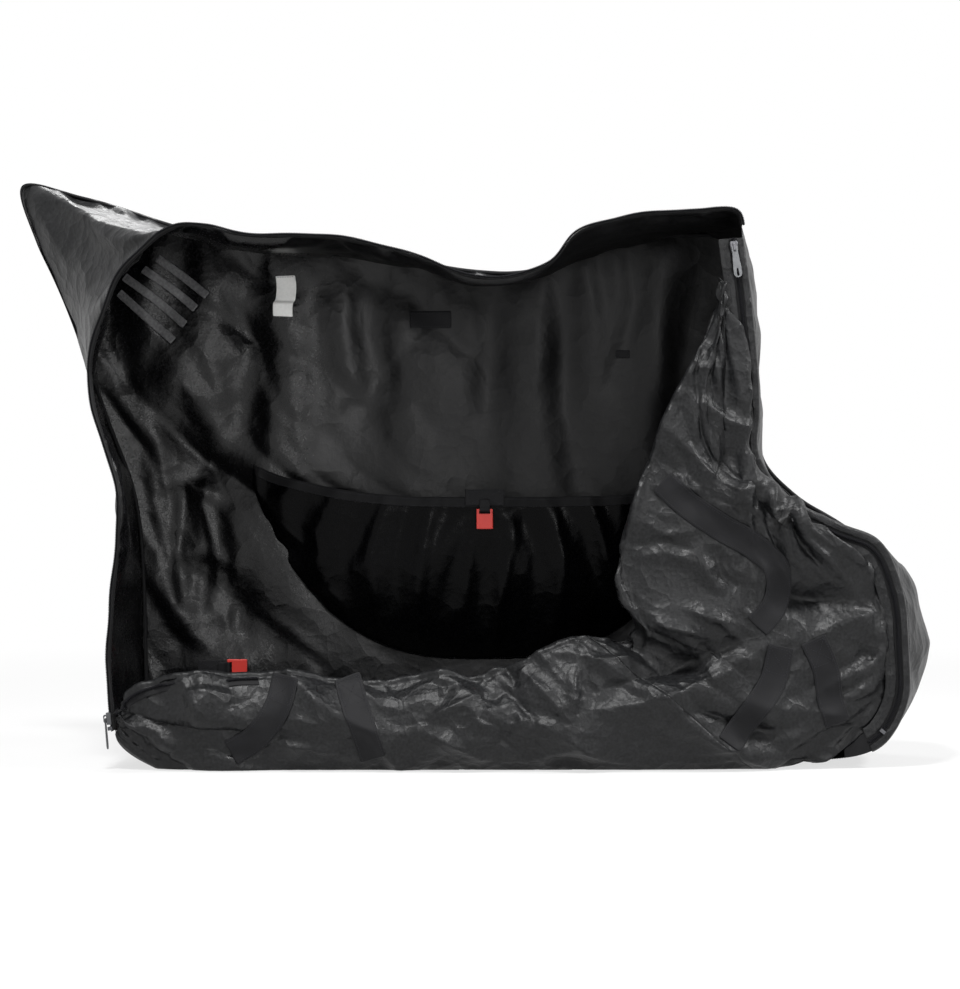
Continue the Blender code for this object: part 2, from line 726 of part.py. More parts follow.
def laid_strip(name, tree, path, width, thickness, lift, material):
    """A flat strip that follows a surface along a path of x and z, seen from the front."""
    middle = resample(np.array(path), WEBBING_STEP)
    along = np.gradient(middle, axis=0)
    along /= np.linalg.norm(along, axis=1)[:, None]
    side = np.column_stack([along[:, 1], -along[:, 0]])
    rows = []
    for offset in np.linspace(-width / 2, width / 2, STRAP_ROWS):
        spots = middle + side * offset
        rows.append([lay_on(tree, x, max(z, OVERRUN), lift + thickness)[0] for x, z in spots])
    grid = np.array(rows)
    if surface_normals(grid)[1, 1, 1] > 0:
        grid = grid[::-1]
    return cloth_solid(name, grid, thickness, material)


def make_front_webbing(panel, materials):
    tree = surface_tree(panel)
    for name, shares in FRONT_WEBBING_SHARES.items():
        path = np.array(shares) * (LENGTH, HEIGHT)
        laid_strip(
            name, tree, path, WEBBING_WIDTH, WEBBING_THICKNESS, WEBBING_CLEARANCE, materials["webbing"]
        )


# Zip: tapes and coils on the gusset side, the closed run and its stops


def make_gusset_zip(materials):
    """The open zip half on the gusset: its tape stands forward of the seam, the coil on its outer face."""
    at = stations_between(OPEN_FOOT_STATION, OPEN_TOP_STATION)
    seam = zip_line(at) - (0, EDGE_GAP, 0)
    edge = seam - (0, TAPE_WIDTH, 0)
    tape = np.array([edge, seam])
    normals = squared(surface_normals(tape), [0, 1])
    cloth_solid("zip_tape_gusset", tape, TAPE_THICKNESS, materials["zip_tape"], normals)
    path = edge + (0, COIL_INSET, 0) + outward(at) * (COIL_RADIUS + COIL_GAP)
    tube_solid("zip_coil_gusset", path, COIL_RADIUS, materials["zip_coil"], outward(at))


def closed_zip_path(at):
    """The middle of the closed zip, on the front face of its tape."""
    points = zip_line(at) - outward(at) * TAPE_WIDTH
    points[:, 1] -= SEAM_GAP + TAPE_THICKNESS
    return points


def make_closed_zip(materials):
    at = stations_between(CLOSED_TOP_STATION, TAPE_FOOT_STATION)
    outer = zip_line(at) - (0, SEAM_GAP + TAPE_THICKNESS, 0)
    inner = outer - outward(at) * 2 * TAPE_WIDTH * zip_width_share(at)[:, None]
    cloth_solid("zip_tape_closed", np.array([outer, inner])[::-1], TAPE_THICKNESS, materials["zip_tape"])
    at = stations_between(CLOSED_TOP_STATION, CLOSED_FOOT_STATION)
    forward = np.tile([0.0, -1.0, 0.0], (len(at), 1))
    path = closed_zip_path(at) + forward * (COIL_RADIUS + COIL_GAP)
    tube_solid("zip_coil_closed", path, COIL_RADIUS, materials["zip_coil"], forward)


def zip_stop(name, place, along, normal, materials):
    """A metal end stop: a short arch over the coil, its feet just off the tape."""
    groove = COIL_RADIUS + SLIDER_RUNNING_GAP
    side = groove + STOP_WALL
    roof = 2 * COIL_RADIUS + COIL_GAP + SLIDER_RUNNING_GAP
    top = roof + STOP_WALL
    profile = (
        (-side, SEAM_GAP),
        (-groove, SEAM_GAP),
        (-groove, roof),
        (groove, roof),
        (groove, SEAM_GAP),
        (side, SEAM_GAP),
        (side, top),
        (-side, top),
    )
    count = len(profile)
    half = STOP_LENGTH / 2
    points = [(x, -half, z) for x, z in profile] + [(x, half, z) for x, z in profile]
    faces = [tuple(range(count)), tuple(range(2 * count - 1, count - 1, -1))]
    faces += [(k, count + k, count + (k + 1) % count, (k + 1) % count) for k in range(count)]
    thing = add_object(name, points, faces, materials["zip_metal"])
    thing.matrix_world = placement(place, along, normal)
    return thing


def placement(place, along, normal):
    """A matrix that puts local y along a direction and local z along a normal, at a place."""
    y = Vector(along).normalized()
    z = Vector(normal) - y * y.dot(Vector(normal))
    z.normalize()
    x = y.cross(z)
    matrix = Matrix((x, y, z)).transposed().to_4x4()
    matrix.translation = Vector(place)
    return matrix


def make_zip_stops(materials):
    low = LEFT_STOP_STATION
    along = (zip_line([low + NEAR_STATION]) - zip_line([low - NEAR_STATION]))[0]
    off = outward([low])[0]
    spot = zip_line([low])[0] + np.array([0, COIL_INSET - TAPE_WIDTH - EDGE_GAP, 0])
    zip_stop("zip_stop_left", spot, along, off, materials)
    high = RIGHT_STOP_STATION
    along = (closed_zip_path([high + NEAR_STATION]) - closed_zip_path([high - NEAR_STATION]))[0]
    zip_stop("zip_stop_right", closed_zip_path([high])[0], along, (0, -1, 0), materials)


# Slider and pull


def slider_body(name, place, along, normal, materials):
    """A slider: a tapered saddle that runs over the coil, with a bridge that traps the pull."""
    groove = COIL_RADIUS + SLIDER_RUNNING_GAP
    top = SLIDER_HEIGHT
    roof = 2 * COIL_RADIUS + COIL_GAP + SLIDER_RUNNING_GAP
    foot = SLIDER_RUNNING_GAP
    points = []
    for share, wide in SLIDER_PLAN_SHARES:
        half = max(wide * SLIDER_WIDTH / 2, groove + BRIDGE_BAR / 2)
        crown = roof + (top - roof) * wide
        shoulder = half * SLIDER_SHOULDER_SHARE
        for x, z in (
            (-half, foot),
            (-groove, foot),
            (-groove, roof),
            (groove, roof),
            (groove, foot),
            (half, foot),
            (half, crown - (top - roof) / 2),
            (shoulder, crown),
            (-shoulder, crown),
            (-half, crown - (top - roof) / 2),
        ):
            points.append((x, share * SLIDER_LENGTH, z))
    ring = len(points) // len(SLIDER_PLAN_SHARES)
    faces = [tuple(range(ring))]
    for i in range(len(SLIDER_PLAN_SHARES) - 1):
        for k in range(ring):
            a, b = i * ring + k, i * ring + (k + 1) % ring
            faces.append((a, a + ring, b + ring, b))
    faces.append(tuple(range(len(points) - 1, len(points) - 1 - ring, -1)))
    body = add_object(name, points, faces, materials["zip_metal"])
    body.matrix_world = placement(place, along, normal)
    bridge = add_object(name + "_bridge", *bridge_shape(top), materials["zip_metal"])
    bridge.matrix_world = body.matrix_world
    hide_tool(bridge)
    join = body.modifiers.new("bridge", "BOOLEAN")
    join.operation = "UNION"
    join.object = bridge
    return body


def bridge_shape(top):
    """An arch along the slider, its feet sunk in the body, high enough for the pull's bar to turn."""
    half = BRIDGE_LENGTH / 2
    inside = half - BRIDGE_BAR * BRIDGE_LEG_SHARE
    sunk = top - BRIDGE_BAR
    ceiling = top + PULL_BAR * math.sqrt(2) / 2 + pull_axis_height()
    crest = ceiling + BRIDGE_BAR
    profile = (
        (-half, sunk),
        (-inside, sunk),
        (-inside, top + BRIDGE_BAR),
        (-inside * BRIDGE_FLAT_SHARE, ceiling),
        (inside * BRIDGE_FLAT_SHARE, ceiling),
        (inside, top + BRIDGE_BAR),
        (inside, sunk),
        (half, sunk),
        (half, ceiling),
        (half * BRIDGE_FLAT_SHARE, crest),
        (-half * BRIDGE_FLAT_SHARE, crest),
        (-half, ceiling),
    )
    count = len(profile)
    wide = BRIDGE_WIDTH / 2
    points = [(-wide, y, z) for y, z in profile] + [(wide, y, z) for y, z in profile]
    faces = [tuple(range(count))[::-1], tuple(range(count, 2 * count))]
    faces += [(k, (k + 1) % count, count + (k + 1) % count, count + k) for k in range(count)]
    return points, faces


def pull_axis_height():
    """Height of the pull's turning axis above the slider's roof, so that its square bar clears it."""
    return PULL_BAR * math.sqrt(2) / 2 + BRIDGE_CLEARANCE


def hide_tool(thing):
    thing.hide_render = True
    thing.display_type = "WIRE"


def pull(name, slider, materials):
    """The pull: a plate whose bar sits under the bridge, with a long eye at its far end."""
    half_bar = PULL_BAR / 2
    window = BRIDGE_WIDTH / 2 + BRIDGE_CLEARANCE
    neck = PULL_NECK / 2
    wide = PULL_WIDTH / 2
    far = -PULL_LENGTH
    side = [(neck - half_bar, half_bar), (neck, 0)]
    side += [(wide * across, PULL_LENGTH * down) for across, down in PULL_SIDE_SHARES]
    turn = np.radians(np.linspace(0, 180, 9))
    outer = side + [(wide * math.cos(a), far + wide - wide * math.sin(a)) for a in turn]
    outer += [(-x, y) for x, y in side[::-1]]
    slot = [(-window, -half_bar), (-window, -PULL_WINDOW_LENGTH)]
    slot += [(window, -PULL_WINDOW_LENGTH), (window, -half_bar)]
    eye_low = PULL_HOLE_WIDTH / 2
    eye_high = eye_low * PULL_HOLE_TAPER_SHARE
    low = far + PULL_RIM + eye_low
    high = far + PULL_RIM + PULL_HOLE_LENGTH - eye_high
    eye = [(eye_low * math.cos(a), low - eye_low * math.sin(a)) for a in turn]
    eye += [(-eye_high * math.cos(a), high + eye_high * math.sin(a)) for a in turn]
    curve = bpy.data.curves.new(name, "CURVE")
    curve.dimensions = "2D"
    curve.fill_mode = "BOTH"
    curve.extrude = PULL_THICKNESS / 2
    for loop in (outer, slot, eye):
        spline = curve.splines.new("POLY")
        spline.points.add(len(loop) - 1)
        for point, (x, y) in zip(spline.points, loop):
            point.co = (x, y, 0, 1)
        spline.use_cyclic_u = True
    curve.materials.append(materials["zip_metal"])
    plate = bpy.data.objects.new(name, curve)
    bpy.context.scene.collection.objects.link(plate)
    height = SLIDER_HEIGHT + pull_axis_height()
    plate.matrix_world = slider.matrix_world @ Matrix.Translation((0, 0, height))
    return plate


def make_sliders(materials):
    """The upper slider on the closed zip and the lower one at the foot of the open zip."""
    head = closed_zip_path([TOP_SLIDER_STATION])[0]
    foot = closed_zip_path([TOP_SLIDER_STATION + SLIDER_AIM])[0]
    upper = slider_body("zip_slider_top", head, head - foot, (0, -1, 0), materials)
    pull("zip_pull_top", upper, materials)
    place = np.array([0, COIL_INSET - TAPE_WIDTH - EDGE_GAP, 0])
    start = zip_line([BOTTOM_SLIDER_STATION])[0] + place
    ahead = zip_line([BOTTOM_SLIDER_STATION + SLIDER_AIM])[0] + place
    off = outward([BOTTOM_SLIDER_STATION + SLIDER_AIM / 2])[0]
    lower = slider_body("zip_slider_bottom", start, ahead - start, off, materials)
    pull("zip_pull_bottom", lower, materials)


# Wheel pocket on the inside of the back panel


def pocket_grid():
    """The pocket's outer face, rows from its sewn lower edge up to the hem, bulging off the panel."""
    u = np.linspace(-1, 1, POCKET_COLUMNS)[None]
    v = np.linspace(0, 1, POCKET_ROWS)[:, None]
    rise = POCKET_END_RISE * np.where(u < 0, 1, POCKET_RIGHT_RISE_SHARE)
    hem = POCKET_HEM_HEIGHT + rise * np.abs(u) ** 3
    ends = hem - POCKET_END_DEPTH
    low = POCKET_LOW_HEIGHT + (ends - POCKET_LOW_HEIGHT) * np.abs(u) ** POCKET_RIM_POWER
    x = POCKET_CENTRE_X + POCKET_HALF_WIDTH * u + 0 * v
    z = low + (hem - low) * v
    fullness = (1 - u**4) * (1 - (1 - v) ** POCKET_FULL_POWER)
    y = BACK_Y - SEAM_GAP - CLOTH - POCKET_BULGE * fullness
    return np.stack([x, y, z], axis=2)


def make_pocket(materials):
    grid = pocket_grid()
    cloth_solid("wheel_pocket", grid, CLOTH, materials["pocket_fabric"])
    top, below = grid[-1], grid[-2]
    down = (below - top) / np.linalg.norm(below - top, axis=1)[:, None]
    band = np.array([top + down * HEM_WIDTH, top])
    lift = surface_normals(grid)[-1] * (SEAM_GAP + HEM_THICKNESS)
    band = band + lift[None]
    cloth_solid("pocket_hem", band[:, 1:-1], HEM_THICKNESS, materials["webbing"])


# Buckles with their loops


def box_points(low, high):
    return [(x, y, z) for x in (low[0], high[0]) for y in (low[1], high[1]) for z in (low[2], high[2])]


BOX_FACES = ((0, 1, 3, 2), (4, 6, 7, 5), (0, 4, 5, 1), (2, 3, 7, 6), (0, 2, 6, 4), (1, 5, 7, 3))


def add_box(name, low, high, material):
    return add_object(name, box_points(low, high), BOX_FACES, material)


def cut(body, tool_name, low, high):
    tool = add_box(tool_name, low, high, body.data.materials[0])
    hide_tool(tool)
    tool.parent = body
    modifier = body.modifiers.new(tool_name, "BOOLEAN")
    modifier.operation = "DIFFERENCE"
    modifier.object = tool


def buckle(name, matrix, materials):
    """The socket half of a side-release buckle. Its bar, at the origin, runs along local x."""
    half, thick = BUCKLE_WIDTH / 2, BUCKLE_THICKNESS / 2
    top = BUCKLE_BAR / 2
    bottom = top - BUCKLE_LENGTH
    body = add_box(name, (-half, -thick, bottom), (half, thick, top), materials["red_plastic"])
    bevel = body.modifiers.new("edges", "BEVEL")
    bevel.width = BUCKLE_ROUND
    bevel.segments = 2
    arm = LOOP_WIDTH / 2 + LOOP_CLEARANCE
    ring = BUCKLE_BAR / 2 + LOOP_CLEARANCE + LOOP_THICKNESS + LOOP_CLEARANCE
    deep = thick + OVERRUN
    cut(body, name + "_slot", (-arm, -deep, -ring - BUCKLE_SLOT / 2), (arm, deep, -BUCKLE_BAR / 2))
    near = BUCKLE_BAR / 2
    cut(body, name + "_front_relief", (-arm, -deep, -near), (arm, -near, top + OVERRUN))
    cut(body, name + "_rear_relief", (-arm, near, -near), (arm, deep, top + OVERRUN))
    inner = thick - BUCKLE_WALL
    wide = half - BUCKLE_WALL
    mouth = bottom - OVERRUN
    cut(body, name + "_socket", (-wide, -inner, mouth), (wide, inner, bottom + BUCKLE_SOCKET_DEPTH))
    window = bottom + BUCKLE_SOCKET_DEPTH - BUCKLE_WINDOW_LENGTH - BUCKLE_WALL
    high = window + BUCKLE_WINDOW_LENGTH
    cut(body, name + "_windows", (-half - OVERRUN, -inner, window), (half + OVERRUN, inner, high))
    body.matrix_world = matrix
    return body


def loop_reach():
    """How far above the bar a loop's two plies have come together."""
    return loop_radii()[1] * LOOP_NECK_SHARE


def loop_radii():
    """The loop's inner and outer radius where it goes round the bar's square corners."""
    inner = BUCKLE_BAR * math.sqrt(2) / 2 + LOOP_CLEARANCE
    return inner, inner + LOOP_THICKNESS


def webbing_loop(name, matrix, materials):
    """A loop of narrow webbing round the buckle's bar, its two plies meeting above."""
    inner, outer = loop_radii()
    turn = np.radians(np.linspace(180, 360, 9))
    ring = [(outer * math.cos(a), outer * math.sin(a)) for a in turn]
    hole = [(inner * math.cos(a), inner * math.sin(a)) for a in turn]
    neck = LOOP_THICKNESS
    top = LOOP_LENGTH
    reach = loop_reach()
    profile = ring + [(outer, inner), (neck, reach), (neck, top), (-neck, top), (-neck, reach), (-outer, inner)]
    opening = hole + [(inner, inner), (0, reach - neck), (-inner, inner)]
    wide = LOOP_WIDTH / 2
    body = add_object(name, *prism(profile, wide), materials["webbing"])
    tool = add_object(name + "_eye", *prism(opening, wide + OVERRUN), materials["webbing"])
    hide_tool(tool)
    tool.parent = body
    modifier = body.modifiers.new("eye", "BOOLEAN")
    modifier.operation = "DIFFERENCE"
    modifier.object = tool
    body.matrix_world = matrix
    return body


def prism(profile, half):
    """Points and faces of a profile of y and z, anticlockwise seen from +X, carried along x."""
    count = len(profile)
    points = [(-half, y, z) for y, z in profile] + [(half, y, z) for y, z in profile]
    faces = [tuple(range(count))[::-1], tuple(range(count, 2 * count))]
    faces += [(k, (k + 1) % count, count + (k + 1) % count, count + k) for k in range(count)]
    return points, faces


def make_buckles(materials):
    """One buckle hangs at the middle of the pocket's hem, the other lies low at the left."""
    webbing = materials["webbing"]
    hem_y = BACK_Y - POCKET_BULGE - CLOTH - 2 * SEAM_GAP - HEM_THICKNESS
    tab_front = hem_y - SEAM_GAP - TAB_THICKNESS
    x = POCKET_CENTRE_X
    low = POCKET_HEM_HEIGHT - TAB_HEIGHT / 2
    add_box(
        "pocket_tab",
        (x - TAB_WIDTH / 2, tab_front, low),
        (x + TAB_WIDTH / 2, tab_front + TAB_THICKNESS, low + TAB_HEIGHT),
        webbing,
    )
    loop_y = tab_front - SEAM_GAP - LOOP_THICKNESS
    bar_z = low - loop_reach() - SEAM_GAP
    upright = Matrix.Translation((x, loop_y, bar_z))
    webbing_loop("pocket_buckle_loop", upright, materials)
    buckle("pocket_buckle", upright, materials)
    tab_y = BACK_Y - SEAM_GAP - TAB_THICKNESS
    x, z = np.array(FLOOR_BUCKLE_PLACE_SHARES) * (LENGTH, HEIGHT)
    add_box(
        "floor_tab",
        (x - FLOOR_TAB_WIDTH, tab_y, z - FLOOR_TAB_HEIGHT / 2),
        (x, tab_y + TAB_THICKNESS, z + FLOOR_TAB_HEIGHT / 2),
        webbing,
    )
    reach = tab_y - SEAM_GAP - LOOP_THICKNESS
    lying = Matrix.Translation((x + loop_reach() + SEAM_GAP, reach, z))
    lying = lying @ Matrix.Rotation(math.radians(90), 4, "Y").inverted()
    webbing_loop("floor_buckle_loop", lying, materials)
    buckle("floor_buckle", lying, materials)


# Small sewn pieces


def flat_strip(name, start, end, width, y_front, thickness, material):
    """A straight flat strip in the XZ plane from start to end."""
    start, end = np.array(start), np.array(end)
    along = (end - start) / np.linalg.norm(end - start)
    side = np.array([along[1], -along[0]]) * width / 2
    outline = [start + side, end + side, end - side, start - side]
    area = sum(a[0] * b[1] - b[0] * a[1] for a, b in zip(outline, outline[1:] + outline[:1]))
    if area < 0:
        outline = outline[::-1]
    return slab(name, outline, y_front, y_front + thickness, material)


def make_small_pieces(materials):
    for k, (x0, z0, x1, z1) in enumerate(TIE_SHARES):
        y_front = BACK_Y - SEAM_GAP - TIE_THICKNESS
        start, end = (x0 * LENGTH, z0 * HEIGHT), (x1 * LENGTH, z1 * HEIGHT)
        name = f"tie_strap_{k + 1}"
        flat_strip(name, start, end, TIE_WIDTH, y_front, TIE_THICKNESS, materials["webbing"])
    flats = (
        ("care_label", LABEL_PLACE_SHARES, LABEL_WIDTH, LABEL_HEIGHT, LABEL_THICKNESS, "label_satin"),
        ("sewn_patch", PATCH_PLACE_SHARES, PATCH_WIDTH, PATCH_HEIGHT, PATCH_THICKNESS, "webbing"),
        (
            "small_patch",
            SMALL_PATCH_PLACE_SHARES,
            SMALL_PATCH_WIDTH,
            SMALL_PATCH_HEIGHT,
            PATCH_THICKNESS,
            "webbing",
        ),
    )
    for name, place, width, height, thickness, material in flats:
        x, z = place[0] * LENGTH, place[1] * HEIGHT
        y_front = BACK_Y - SEAM_GAP - thickness
        ends = (x, z - height / 2), (x, z + height / 2)
        flat_strip(name, *ends, width, y_front, thickness, materials[material])


def make_back_webbing(materials):
    y_front = BACK_Y + CLOTH + SEAM_GAP
    for name, ends in BACK_WEBBING_SHARES.items():
        start, end = (np.array(share) * (LENGTH, HEIGHT) for share in ends)
        flat_strip(name, start, end, WEBBING_WIDTH, y_front, WEBBING_THICKNESS, materials["webbing"])
    y_grip = y_front + WEBBING_THICKNESS + SEAM_GAP
    for name, ends in BACK_GRIP_SHARES.items():
        start, end = (np.array(share) * (LENGTH, HEIGHT) for share in ends)
        flat_strip(name, start, end, GRIP_WIDTH, y_grip, GRIP_THICKNESS, materials["webbing"])


def main():
    clear_scene()
    materials = make_materials()
    make_shell(materials)
    panel = make_front_panel(materials)
    make_front_webbing(panel, materials)
    make_gusset_zip(materials)
    make_closed_zip(materials)
    make_zip_stops(materials)
    make_sliders(materials)
    make_pocket(materials)
    make_buckles(materials)
    make_small_pieces(materials)
    make_back_webbing(materials)


main()
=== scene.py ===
# %% [markdown]
# # A soft travel bag, standing open
#
# The bag is sewn from black nylon. It stands on its base with its zip undone: the front panel has
# dropped to a low flap at the left and hangs like a gathered curtain at the right. This lesson
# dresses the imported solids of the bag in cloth, webbing, thread and zip coil.
# The solids give every place, and nothing here moves them.

# %% The frame
import math

import bpy
import numpy as np
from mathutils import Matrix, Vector


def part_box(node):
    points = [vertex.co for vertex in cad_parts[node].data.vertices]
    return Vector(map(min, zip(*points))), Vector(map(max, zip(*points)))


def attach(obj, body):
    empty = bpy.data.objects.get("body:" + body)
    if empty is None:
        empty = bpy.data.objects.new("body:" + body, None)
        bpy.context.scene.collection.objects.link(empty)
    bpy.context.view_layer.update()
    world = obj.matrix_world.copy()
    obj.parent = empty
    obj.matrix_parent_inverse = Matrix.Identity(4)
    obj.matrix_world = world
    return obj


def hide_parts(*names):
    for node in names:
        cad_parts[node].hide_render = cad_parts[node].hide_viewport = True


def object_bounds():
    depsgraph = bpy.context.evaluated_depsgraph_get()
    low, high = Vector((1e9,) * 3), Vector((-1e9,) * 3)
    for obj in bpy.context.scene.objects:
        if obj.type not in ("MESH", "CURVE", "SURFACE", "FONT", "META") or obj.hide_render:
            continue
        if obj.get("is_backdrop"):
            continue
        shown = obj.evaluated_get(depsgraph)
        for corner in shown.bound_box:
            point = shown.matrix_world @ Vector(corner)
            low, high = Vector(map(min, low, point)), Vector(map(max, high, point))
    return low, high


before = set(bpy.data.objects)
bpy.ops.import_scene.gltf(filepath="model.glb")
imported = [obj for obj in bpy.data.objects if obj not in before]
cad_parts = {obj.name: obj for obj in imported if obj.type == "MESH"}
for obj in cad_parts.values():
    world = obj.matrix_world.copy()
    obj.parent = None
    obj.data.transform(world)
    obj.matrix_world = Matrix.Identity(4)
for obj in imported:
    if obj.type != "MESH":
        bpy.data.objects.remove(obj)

for name in ("Cube", "Light", "Camera"):
    if name in bpy.data.objects:
        bpy.data.objects.remove(bpy.data.objects[name])

cad_low, cad_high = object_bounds()
print("solids from", tuple(round(v, 3) for v in cad_low), "to", tuple(round(v, 3) for v in cad_high))

# %% [markdown]
# ## Camera
#
# The photograph was taken level, from straight in front. One distance and one focal length in
# pixels describe such a view, so the same numbers can also turn a pixel into a place on the bag.
# That is how the folds below are set: in pixels, on the surface that carries them.

# %% Camera and the pixels of its view
PHOTO_WIDTH, PHOTO_HEIGHT = 960, 989
FOCAL_PIXELS = 2671.0
CAMERA_DISTANCE = 3.9
CAMERA_HEIGHT = 0.3875
SENSOR_MM = 36.0

camera_data = bpy.data.cameras.new("photo_camera")
camera_data.sensor_width = SENSOR_MM
camera_data.lens = SENSOR_MM * FOCAL_PIXELS / PHOTO_HEIGHT
camera = bpy.data.objects.new("photo_camera", camera_data)
camera.location = (0, -CAMERA_DISTANCE, CAMERA_HEIGHT)
camera.rotation_euler = (math.radians(90), 0, 0)
bpy.context.scene.collection.objects.link(camera)
bpy.context.scene.camera = camera


def at_pixels(pixels, y):
    """The places at depth y that show at these pixels: offset from the middle by distance over focal length."""
    pixels = np.asarray(pixels, float)
    scale = (CAMERA_DISTANCE + y) / FOCAL_PIXELS
    x = (pixels[..., 0] - PHOTO_WIDTH / 2) * scale
    z = CAMERA_HEIGHT + (PHOTO_HEIGHT / 2 - pixels[..., 1]) * scale
    return np.stack([x, np.broadcast_to(y, x.shape), z], axis=-1)


def pixels_of(points):
    """The pixels at which places show, the same sum turned round."""
    scale = FOCAL_PIXELS / (CAMERA_DISTANCE + points[..., 1])
    return np.stack(
        [PHOTO_WIDTH / 2 + points[..., 0] * scale, PHOTO_HEIGHT / 2 - (points[..., 2] - CAMERA_HEIGHT) * scale],
        axis=-1,
    )


print("lens", round(camera_data.lens, 2), "mm on a", SENSOR_MM, "mm sensor")

# %% [markdown]
# ## Two lines that carry the whole bag
#
# A soft bag has no plates. What holds its shape is two closed seams: the zip line round the
# opening, and the seam round the back panel. Both are walked clockwise in 38 stations, and the
# cloth between them, the gusset, joins the same stations. Every other piece starts from them, so
# they come first.

# %% Sizes and stations of the two seams
LENGTH, HEIGHT, DEPTH = 1.33, 0.855, 0.26
SPAN = np.array((LENGTH, HEIGHT))
BACK_Y = DEPTH / 2
CLOTH = 0.0011
THIN_CLOTH = 0.0009
SEAM_GAP = 0.0004
FORWARD = np.array((0.0, -1.0, 0.0))

# Each station as thousandths of the length, the height and the depth
ZIP_LINE_SHARES = np.array((
    (-342, 7, -480), (-386, 53, -480), (-391, 100, -480), (-394, 172, -490), (-391, 262, -500),
    (-384, 461, -500), (-411, 609, -500), (-414, 664, -500), (-400, 752, -490), (-379, 826, -480),
    (-356, 862, -480), (-338, 885, -480), (-321, 897, -480), (-292, 896, -500), (-263, 885, -500),
    (-147, 876, -500), (-61, 843, -480), (-8, 813, -460), (38, 815, -460), (75, 837, -470), (102, 884, -490),
    (149, 908, -500), (231, 920, -500), (274, 918, -500), (279, 870, -500), (290, 732, -500), (296, 592, -490),
    (295, 523, -480), (325, 453, -460), (384, 403, -440), (424, 377, -430), (450, 295, -420),
    (456.5, 202, -420), (454.5, 102, -420), (435.5, 48, -430), (316, 11, -480), (248, 0, -500),
    (-271, 0, -500),
)) / 1000
BACK_SEAM_SHARES = np.array((
    (-331, 5, 0), (-372, 53, 30), (-380, 110, 30), (-382, 172, 30), (-383, 257, 30), (-395, 456, 20),
    (-425, 585, 0), (-445, 673, 0), (-466, 766, -30), (-485, 836, -50), (-504, 901, -50), (-520, 999, -40),
    (-451, 980, -50), (-344, 929, -40), (-271, 898, -20), (-150, 880, -30), (-60, 863, -30), (-8, 851, -30),
    (38, 848, -30), (75, 857, -30), (113, 877, -20), (158, 896, 0), (233, 915, 0), (278, 906, 10),
    (299, 854, 20), (312, 725, 20), (316, 585, 20), (323, 515, 0), (357, 456, 0), (410, 404, 20),
    (451, 357, 40), (472, 287, 85), (477, 199, 143), (462, 99, 60), (432, 35, 30), (338, 5, 0), (271, 0, 0),
    (-271, 0, 0),
)) / 1000
STATIONS = len(ZIP_LINE_SHARES)
NEAR_STATION = 0.02
FINE_SAMPLES = 4000


def unit(vectors, least=1e-9):
    """Vectors divided by their lengths."""
    return vectors / np.maximum(np.linalg.norm(vectors, axis=-1, keepdims=True), least)


def keep_above(points, low=0.0):
    """Lifts what lies under a height up to it."""
    points[..., 2] = np.maximum(points[..., 2], low)


def hermite(rows, at, closed):
    """A smooth line through the rows: cubic pieces, whose slope at a row weighs each side by its length."""
    rows = np.asarray(rows, float)
    count = len(rows)
    following = np.roll(rows, -1, axis=0) if closed else np.vstack([rows[1:], 2 * rows[-1] - rows[-2]])
    spans = following - rows
    lengths = np.linalg.norm(spans, axis=1)[:, None]
    slopes = spans / lengths
    before, before_length = np.roll(slopes, 1, axis=0), np.roll(lengths, 1, axis=0)
    if not closed:
        before[0], before_length[0] = slopes[0], lengths[0]
    tangents = (before * lengths + slopes * before_length) / (lengths + before_length)
    at = np.mod(at, count) if closed else np.clip(at, 0, count - 1)
    start = np.floor(at).astype(int) % count
    end = (start + 1) % count if closed else np.minimum(start + 1, count - 1)
    f = (at - np.floor(at))[:, None]
    reach = lengths[start]
    return (
        (2 * f**3 - 3 * f**2 + 1) * rows[start]
        + (f**3 - 2 * f**2 + f) * reach * tangents[start]
        + (3 * f**2 - 2 * f**3) * rows[end]
        + (f**3 - f**2) * reach * tangents[end]
    )


def zip_line(at):
    """The gusset's front edge at these stations: the smooth line through the shares."""
    x, z, y = (ZIP_LINE_SHARES * (LENGTH, HEIGHT, DEPTH)).T
    points = hermite(np.column_stack([x, y, z]), np.asarray(at, float), True)
    keep_above(points)
    return points


def back_seam(at):
    """The seam of gusset and back panel, all in one plane. Its third share is the gusset's crown."""
    x, z, _ = (BACK_SEAM_SHARES * (LENGTH, HEIGHT, DEPTH)).T
    points = hermite(np.column_stack([x, np.full(STATIONS, BACK_Y), z]), np.asarray(at, float), True)
    keep_above(points)
    return points


def outward(at):
    """Unit vectors square to the zip line, in X and Z: the line's direction turned a quarter round."""
    along = zip_line(np.asarray(at) + NEAR_STATION) - zip_line(np.asarray(at) - NEAR_STATION)
    return unit(np.column_stack([-along[:, 2], np.zeros(len(along)), along[:, 0]]))


def run_along(points):
    """Metres walked along a line of points, from 0 at its first."""
    return np.concatenate([[0], np.cumsum(np.linalg.norm(np.diff(points, axis=0), axis=1))])


def at_run(at, run, values):
    """The rows of values, such as points, at these metres of their run."""
    return np.column_stack([np.interp(at, run, column) for column in values.T])


def even_stations(first, last, step=None, count=None):
    """Stations a step apart, or a count of them, measured on whichever of the two seams is the longer there."""
    fine = np.linspace(first, last, FINE_SAMPLES)
    spans = [np.linalg.norm(np.diff(seam(fine), axis=0), axis=1) for seam in (zip_line, back_seam)]
    run = np.concatenate([[0], np.cumsum(np.maximum(*spans))])
    return np.interp(np.linspace(0, run[-1], count or int(run[-1] / step) + 2), run, fine)


whole_round = np.linspace(0, STATIONS, FINE_SAMPLES)
print("zip line", round(run_along(zip_line(whole_round))[-1], 3), "m,", STATIONS, "stations")
print("back seam", round(run_along(back_seam(whole_round))[-1], 3), "m")

